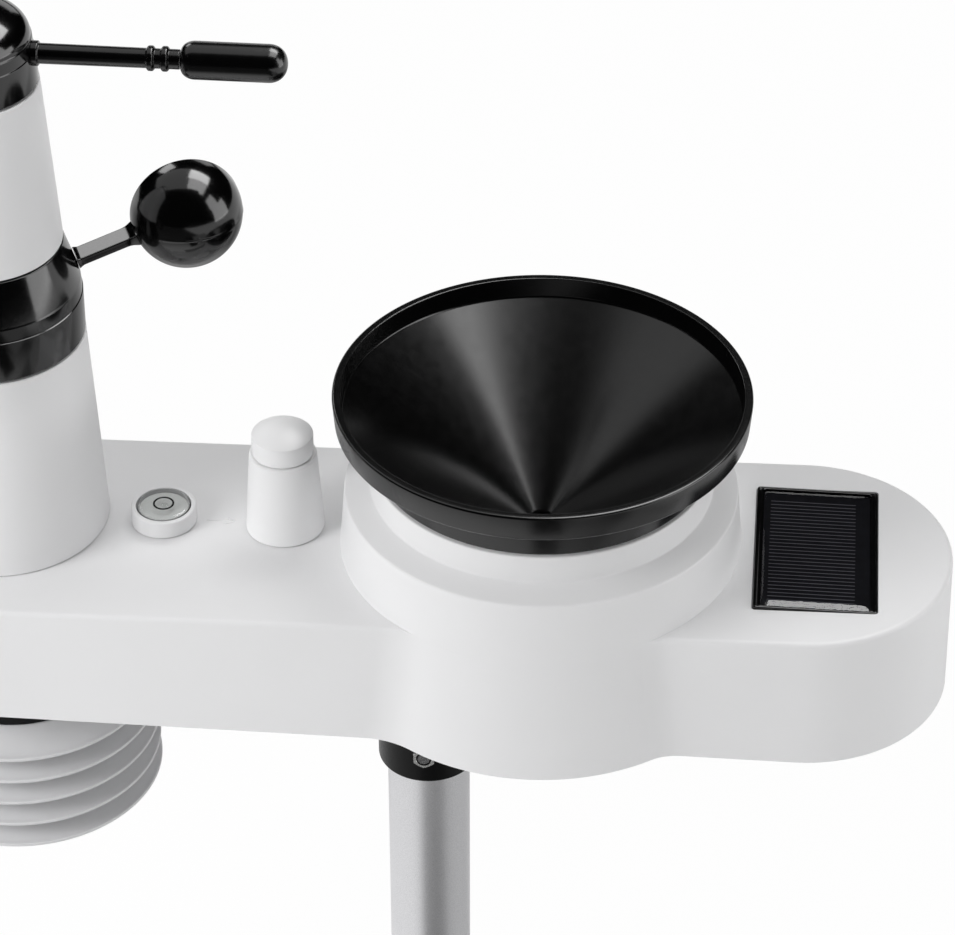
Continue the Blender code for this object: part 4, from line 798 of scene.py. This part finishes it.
def buildLight(v, slope):
    axis = (v.x, 0, v.z)
    lip = v.bore - v.wall
    corners = [
        (v.footR, 0), (v.topR, v.height), (v.bore, v.height), (v.bore, v.ledge), (lip, v.ledge),
        (lip, v.ledge - v.wall), (v.footR - v.wall, 0),
    ]
    profile = rounded(corners, v.rounds, 6)
    shell = turned(profile, v.steps, axis, lean=leanBase(slope))
    putPiece("lightPost", [shell], milkyWhiteLit, ["light_post"])
    seat, outer, skin = v.height + v.gap, v.bore - v.gap, v.domeWall
    spring, end, top, inner = seat + v.domeSide, seat - v.spigot, seat + v.domeHigh, outer - skin
    crown = capRun(v.domeR, spring, top, v.crownSteps)
    vault = capRun(v.domeR - skin, spring - skin, top - skin, v.vaultSteps)[::-1]
    join = v.crownFrom
    low = rounded(
        [(inner, seat), (inner, end), (outer, end), (outer, seat), (v.domeR, seat), crown[0], crown[join]],
        v.domeRounds, 6, False,
    )
    shell = turned(np.concatenate([low[:-1], crown[join:], vault]), v.steps, axis)
    putPiece("lightDome", [shell], milkyWhiteLit, ["light_dome"])


buildLevel(*named(levelForm), caseForm["slope"])
buildLight(*named(lightForm), caseForm["slope"])
print("level and light built")

# solar panel: tray, striped cell, and a poured clear cover with a rounded edge

panelForm = dict(
    halfX=0.01935, halfY=0.0313, rim=0.0011, sideRim=0.0021, lip=0.0006, groove=0.0005, grooveShare=0.4,
    lipDrop=0.0001, depth=0.0034, floor=0.001, sheet=0.0007, corner=0.001, cornerSteps=8, bedGap=0.0003,
    sideGap=0.0002, rounds=(0.0003, 0.0003, 0.0002, 0.0001, 0.0001, 0.0001, 0.0002, 0),
    edgeWide=0.0032, sideWide=0.001, edgeDrop=0.0006, edgePower=1.6, edgeRows=22, cornerGrow=0.9, coverGap=0.0001,
)
cellForm = dict(
    pitch=0.00182, wide=0.00024, core=0.4, left=-0.0148, right=0.0124, end=0.0268, line=(0.13, 0.13, 0.137),
    dark=(0.003, 0.0032, 0.0045), light=(0.005, 0.0054, 0.0075), rough=0.5, specular=0.05,
)


def stripedCell(k, s):
    # dark silicon with fine collector lines: |y mod pitch| under the line's width, inside a box
    made, tree, shader = newMaterial("stripedCell")
    place = objectPlace(tree)
    axes = node(tree, "SeparateXYZ", {"Vector": place}).outputs
    across = calc(tree, "SUBTRACT", axes["Y"], s.y)
    wave = calc(tree, "PINGPONG", across, k.pitch / 2)
    line = spread(tree, wave, 1.0, 0, k.wide * k.core, k.wide)
    left = calc(tree, "GREATER_THAN", axes["X"], s.x + k.left)
    right = calc(tree, "LESS_THAN", axes["X"], s.x + k.right)
    inside = calc(tree, "LESS_THAN", calc(tree, "ABSOLUTE", across), k.end)
    mask = calc(tree, "MULTIPLY", calc(tree, "MULTIPLY", left, right), inside)
    lines = calc(tree, "MULTIPLY", mask, line)
    base = mottled(tree, noiseOn(tree, place, 260, 3), k.dark, k.light)
    colour = tinted(tree, lines, base, k.line)
    feed(tree, shader, {"Base Color": colour, "Roughness": k.rough, "Specular IOR Level": k.specular})
    return made


def stackedPiece(name, p, levels, finish, nodes, grow=0.0):
    # rounded rectangles stacked as (x inset, y inset, z) levels, corner radius rising by grow * y inset,
    # on the tilted plane just above the case's top
    s, c = named(solarForm, caseForm)
    turn = np.array(Matrix.Rotation(s.tilt, 3, "Y"))
    rows = []
    for insetX, insetY, z in levels:
        corners = boxCorners(p.halfX - insetX, p.halfY - insetY)
        loop = rounded(corners, p.corner + grow * insetY, p.cornerSteps)
        flat = np.column_stack([loop, np.full(len(loop), z)])
        rows.append(flat @ turn.T + np.array([s.x, s.y, topAt(c, s.x) + s.lift]))
    shells = [gridShell(np.stack(rows)), flatFace([rows[0]]), flatFace([rows[-1]])]
    putPiece(name, shells, finish, nodes)


def buildPanel(p, cell):
    # tray: a lip, a groove and an inner lip, wider at the sides
    bed, deep, ledge = p.floor - p.depth, -p.groove, -p.lipDrop
    step = p.lip + p.grooveShare * (p.rim - p.lip)
    corners = [
        (0, -p.depth), (0, 0), (p.lip, 0), (p.lip, deep), (step, deep), (step, ledge), (p.rim, ledge),
        (p.rim, bed),
    ]
    walls = rounded(corners, p.rounds, 5, False)
    across = np.interp(walls[:, 0], [0, p.lip, p.rim], [0, p.lip, p.sideRim])
    stackedPiece("solarTray", p, np.column_stack([across, walls]), gloss, ["solar_tray"])
    insetX, insetY = p.sideRim + p.sideGap, p.rim + p.sideGap
    low, sheet = bed + p.bedGap, bed + p.bedGap + p.sheet
    levels = [(insetX, insetY, low), (insetX, insetY, sheet)]
    stackedPiece("solarCell", p, levels, cell, ["solar_cell"])
    # cover: its border falls as z = -edgeDrop * (1 - t)^edgePower
    t, gap = np.linspace(0, 1, p.edgeRows), p.coverGap
    fall = -p.edgeDrop * (1 - t) ** p.edgePower
    crown = np.column_stack([insetX + p.sideWide * t, insetY + p.edgeWide * t, fall])
    foot = [(gap, gap, sheet + gap), (0, 0, sheet + 2 * gap), (0, 0, -p.edgeDrop - gap)]
    levels = np.concatenate([np.array(foot) + np.array([insetX, insetY, 0]), crown])
    stackedPiece("solarCover", p, levels, clearResin, ["solar_cover"], p.cornerGrow)


buildPanel(*named(panelForm), stripedCell(*named(cellForm, solarForm)))
print("panel built")

# climate shield

shieldForm = dict(
    x=-0.13645, base=0.189, first=-0.0254, pitch=0.00922, count=5, radius=0.04516, neck=0.0335, bore=0.02,
    rise=0.0056, skin=0.0016, lipShare=0.8, power=1.4, lip=0.0011, lipRound=0.0004, gap=0.0003, neckRound=0.0003,
    rows=26, steps=180, neckSteps=120,
)


def buildShield(v):
    # plate: height falls from the neck as (1 - t)^power, then a flat lip; the underside is the same curve lower
    t, thin = np.linspace(0, 1, v.rows), v.skin * v.lipShare
    reach = v.neck + (v.radius - v.lip - v.neck) * t
    over = np.stack([reach, thin + (v.rise - thin) * (1 - t) ** v.power], -1)
    under = over[::-1] - np.array([0, thin])
    corners = [over[-1], (v.radius, thin), (v.radius, 0), under[0]]
    lip = rounded(corners, [0, v.lipRound, v.lipRound, 0], 5, False)
    for i in range(v.count):
        bore = 0 if i == v.count - 1 else v.bore
        profile = np.concatenate([[(bore, v.rise)], over[:-1], lip, under[1:], [(bore, v.rise - v.skin)]])
        shell = turned(profile, v.steps, (v.x, 0, v.base + v.first - v.pitch * i))
        name = f"shield_plate_{i + 1}"
        putPiece(f"shieldPlate{i + 1}", [shell], shieldWhiteShaded, [name])
    low, high = v.first + v.rise + v.gap, -v.gap
    corners = [(v.bore, low), (v.neck, low), (v.neck, high), (v.bore, high)]
    shell = turned(rounded(corners, v.neckRound, 4), v.neckSteps, (v.x, 0, v.base))
    putPiece("shieldNeck", [shell], matteBlack, ["shield_neck"])


buildShield(*named(shieldForm))
print("shield built")

# mast and socket

mastForm = dict(
    radius=0.0137, wall=0.0014, edge=0.0003, margin=0.0006, rows=40, steps=120, below=0.1405, gap=0.0003,
    socketWall=0.0027, socketHeight=0.0482, cap=0.002, flangeR=0.024, flangeHigh=0.003, socketSteps=144,
    rounds=(0, 0, 0.0004, 0.0008, 0.001, 0.0005, 0.0005, 0),
)
nutForm = dict(
    z=0.1504, across=0.007, high=0.0024, boreR=0.0022, chamfer=0.0004, draw=0.0001, faceCircle=0.5, sink=0.0005,
    steps=96, sharp=25,
)


def buildMast(m):
    top = m.below + m.socketHeight
    roof, radius, hollow = top - m.cap, m.radius, m.radius - m.wall
    end = roof - m.gap
    heights, soft = np.linspace(m.margin, end - m.margin, m.rows), [0, m.edge, m.edge, 0]
    outer = np.column_stack([np.full(m.rows, radius), heights])
    inner = np.column_stack([np.full(m.rows, hollow), heights[::-1]])
    foot = rounded([inner[-1], (hollow, 0), (radius, 0), outer[0]], soft, 4, False)[1:-1]
    head = rounded([outer[-1], (radius, end), (hollow, end), inner[0]], soft, 4, False)[1:-1]
    shell = turned(np.concatenate([outer, head, inner, foot]), m.steps)
    putPiece("mastTube", [shell], satinMast, ["mast_tube"])
    bore, step = radius + m.gap, top - m.flangeHigh
    wide = bore + m.socketWall
    corners = [
        (0, roof), (bore, roof), (bore, m.below), (wide, m.below), (wide, step), (m.flangeR, step),
        (m.flangeR, top), (0, top),
    ]
    profile = rounded(corners, m.rounds, 5)
    putPiece("mastSocket", [turned(profile, m.socketSteps)], satinBlack, ["mast_socket"])


def nutRing(n, apothem, circle, y):
    # hexagon: apothem / cos(angle from the nearest flat), drawn towards a circle by the share circle
    turn = np.linspace(0, math.tau, n.steps, endpoint=False)
    flat = apothem / np.cos((turn + math.pi / 6) % (math.pi / 3) - math.pi / 6)
    reach = flat * (1 - circle) + apothem * circle
    return np.stack([reach * np.cos(turn), np.full(n.steps, y), n.z + reach * np.sin(turn)], -1)


def buildNut(n, m):
    # six-sided nut with a turned chamfer and a countersunk bore, its face just proud of the socket
    seat, half = -m.radius - 2 * m.gap, n.across / 2
    face = seat - n.high
    levels = [
        (half, 0, seat), (half, 0, face + n.chamfer), (half - n.draw, n.faceCircle, face),
        (n.boreR + n.sink, 1, face), (n.boreR, 1, face + n.sink), (n.boreR, 1, seat),
    ]
    rows = np.stack([nutRing(n, *level) for level in levels])
    putPiece("mastNut", [gridShell(rows, True)], brightSteel, ["mast_nut"], sharp=n.sharp)


buildMast(*named(mastForm))
buildNut(*named(nutForm, mastForm))
print("mast built")

# solids kept as they come from the CAD get their finishes

carried = {
    whiteMould: "bottom_cover battery_door bucket_frame vane_bush",
    matteBlack: "tipping_bucket reset_button",
    brightSteel: "cover_screw_1 cover_screw_2 cover_screw_3 cover_screw_4 battery_door_screw bucket_axle "
    "bucket_magnet tower_stem rotor_bearing_lower rotor_bearing_upper rotor_magnet vane_magnet vane_shaft "
    "shield_rod_1 shield_rod_2 shield_rod_3",
    darkSteelShaded: "mast_bolt",
    boardGreen: "main_board rain_board wind_speed_board vane_board light_board climate_board",
    cellWrap: "battery_1 battery_2",
}
for finish, names in carried.items():
    for name in names.split():
        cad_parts[name].data.materials.clear()
        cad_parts[name].data.materials.append(finish)
print("inner pieces finished")

# stage, light and camera

# pool*, behind and beside shape a painted pool of light on the floor's glow, seen only in reflections
stageForm = dict(
    floorZ=-0.001, cardZ=0.001, floorSize=6.0, floorColour=(0.83, 0.83, 0.83), floorRough=0.9, show=0.97, glow=1.0,
    poolAt=(-0.1, -0.1, 0), poolIn=0.2, poolOut=0.46, poolDim=0.05, behind=(0.1, 0.8), beside=(0.34, 0.48),
)
# glowing sheets on the floor beside the mast, met only by reflections: painted reflections of light and shade, the
# dark one a painted shade
paintedReflectionCards = dict(
    frontCard=dict(corners=((0, -0.02), (-0.073, -0.24), (0.245, -0.24), (0.03, -0.02)), tone=0.25),
    sideCard=dict(corners=((0.03, -0.02), (0.245, -0.24), (0.36, -0.24), (0.36, 0.4), (0.004, 0.02)), tone=0.52),
    darkCard=dict(corners=((0.03, -0.3), (0, -0.75), (0.175, -0.75), (0.125, -0.3)), tone=0.02),
    lowCard=dict(corners=((0.19, -0.36), (0.19, -0.75), (0.6, -0.75), (0.45, -0.36)), tone=0.45),
)
# lamps that shine are met only by reflections, the others only by diffuse light
lamps = dict(
    key=dict(at=(-0.88, -0.58, 0.8), to=(0, 0, 0.24), wide=0.55, high=0.55, power=8.1, shine=False),
    back=dict(at=(0.06, 0.76, 1.6), to=(0, 0, 0.3), wide=1.1, high=0.5, power=5.3, shine=False),
    side=dict(at=(1.35, -0.22, 0.5), to=(0, 0, 0.3), wide=1.1, high=0.36, power=4.5, shine=False),
    backTop=dict(at=(0.46, 0.7, 1.57), to=(0.46, 0.7, 0), wide=0.92, high=0.7, power=17.5, shine=True),
    backLow=dict(at=(-0.4, 2.2, 0.75), to=(-0.4, 0, 0.75), wide=1.6, high=0.6, power=3.1, shine=True),
    leftTop=dict(at=(-0.85, 0.38, 1.57), to=(-0.85, 0.38, 0), wide=1.7, high=1.42, power=5.6, shine=True),
    leftBack=dict(at=(-0.8, 1.1, 1.17), to=(-0.1, 0, 0.33), wide=0.45, high=0.4, power=2.1, shine=True),
    rightTop=dict(at=(0.47, 0, 1.57), to=(0.47, 0, 0), wide=0.86, high=0.66, power=7.6, shine=True),
    rightSide=dict(at=(1.35, -0.14, 0.53), to=(0, -0.14, 0.53), wide=0.9, high=0.68, power=6.0, shine=True),
    rightHigh=dict(at=(1.35, -0.36, 1.22), to=(0, -0.36, 1.22), wide=0.62, high=0.7, power=4.2, shine=True),
)
ambient = dict(colour=(1, 1, 1), diffuse=0.43, glossy=0.0, seen=0.985)


def sightRays(tree):
    # 1 for the camera's rays and those through glass, and 1 for reflections
    rays = node(tree, "LightPath").outputs
    return calc(tree, "MAXIMUM", rays["Is Camera Ray"], rays["Is Transmission Ray"]), rays["Is Glossy Ray"]


def chosen(tree, factor, first, second):
    inputs = {"Factor": factor, "A": first, "B": second}
    return node(tree, "Mix", inputs, data_type="FLOAT").outputs["Result"]


def stageSheet(name, corners, z, material):
    mesh = bpy.data.meshes.new(name)
    mesh.from_pydata([(x, y, z) for x, y in corners], [], [list(range(len(corners)))])
    mesh.materials.append(material)
    made = addObject(name, mesh)
    return made


def paintedReflectionPool(tree, s):
    # painted reflection: the white paper's glow as reflections see it is a painted pool of light, bright round the
    # mast's foot, behind and to the right, dim elsewhere
    place = objectPlace(tree)
    axes = node(tree, "SeparateXYZ", {"Vector": place}).outputs
    off = node(tree, "VectorMath", {0: place, 1: s.poolAt}, operation="DISTANCE").outputs["Value"]
    near = spread(tree, off, 1.0, s.poolDim, s.poolIn, s.poolOut)
    behind = spread(tree, axes["Y"], s.poolDim, 1.0, *s.behind)
    beside = spread(tree, axes["X"], s.poolDim, 1.0, *s.beside)
    return calc(tree, "MAXIMUM", near, calc(tree, "MAXIMUM", behind, beside))


def buildStage(s, table):
    made, tree, shader = newMaterial("paleFloor")
    feed(tree, shader, {"Base Color": (*s.floorColour, 1), "Roughness": s.floorRough})
    sight, glossy = sightRays(tree)
    tone = chosen(tree, sight, paintedReflectionPool(tree, s), s.glow)
    glow = node(tree, "Emission", {"Strength": tone})
    share = calc(tree, "MULTIPLY", calc(tree, "MAXIMUM", sight, glossy), s.show)
    paper = node(tree, "MixShader", {0: share, 1: shader.outputs[0], 2: glow.outputs[0]})
    under = node(tree, "NewGeometry").outputs["Backfacing"]  # from below the floor is clear
    clear = node(tree, "BsdfTransparent")
    showSurface(tree, node(tree, "MixShader", {0: under, 1: paper.outputs[0], 2: clear.outputs[0]}))
    stageSheet("floor", boxCorners(s.floorSize, s.floorSize), s.floorZ, made)

    # each sheet glows at its tone and is met only by reflections: painted reflection
    for name, card in table.items():
        made, tree, _ = newMaterial(name)
        showSurface(tree, node(tree, "Emission", {"Strength": card["tone"]}))
        sheet = stageSheet(name, card["corners"], s.cardZ, made)
        sheet.visible_camera = sheet.visible_diffuse = sheet.visible_shadow = sheet.visible_transmission = False


def buildWorld(a):
    world = bpy.data.worlds.new("studio")
    world.use_nodes = True
    tree = world.node_tree
    sight, glossy = sightRays(tree)
    unseen = spread(tree, glossy, a.diffuse, a.glossy, 0, 1)
    strength = chosen(tree, sight, unseen, a.seen)
    feed(tree, tree.nodes["Background"], {"Strength": strength, "Color": (*a.colour, 1)})
    bpy.context.scene.world = world


def buildLamps(table):
    for name, lamp in table.items():
        data = bpy.data.lights.new(name, "AREA")
        data.shape = "RECTANGLE"
        data.size, data.size_y, data.energy = lamp["wide"], lamp["high"], lamp["power"]
        made = addObject(name, data)
        made.location = lamp["at"]
        aim = Vector(lamp["to"]) - Vector(lamp["at"])
        made.rotation_euler = aim.to_track_quat("-Z", "Y").to_euler()
        made.visible_camera = False
        made.visible_glossy, made.visible_diffuse = lamp["shine"], not lamp["shine"]


cameraForm = dict(
    at=(0.099654, -0.939973, 0.96024), lens=140.389, sensor=36.0, near=0.05, far=50,
    right=(0.99613969, 0.08778056, -0.00054261), up=(-0.05191923, 0.59414464, 0.80268084),
    back=(0.07078216, -0.79955407, 0.59640856),
)


def buildCamera(c):
    data = bpy.data.cameras.new("camera")
    data.lens, data.sensor_width, data.sensor_fit = c.lens, c.sensor, "HORIZONTAL"
    data.clip_start, data.clip_end = c.near, c.far
    made = addObject("camera", data)
    turn = Matrix((c.right, c.up, c.back)).transposed().to_4x4()
    made.matrix_world = Matrix.Translation(c.at) @ turn
    bpy.context.scene.camera = made


buildStage(*named(stageForm), paintedReflectionCards)
buildWorld(*named(ambient))
buildLamps(lamps)
buildCamera(*named(cameraForm))
bpy.context.scene.view_settings.view_transform = "Standard"
print("stage built")
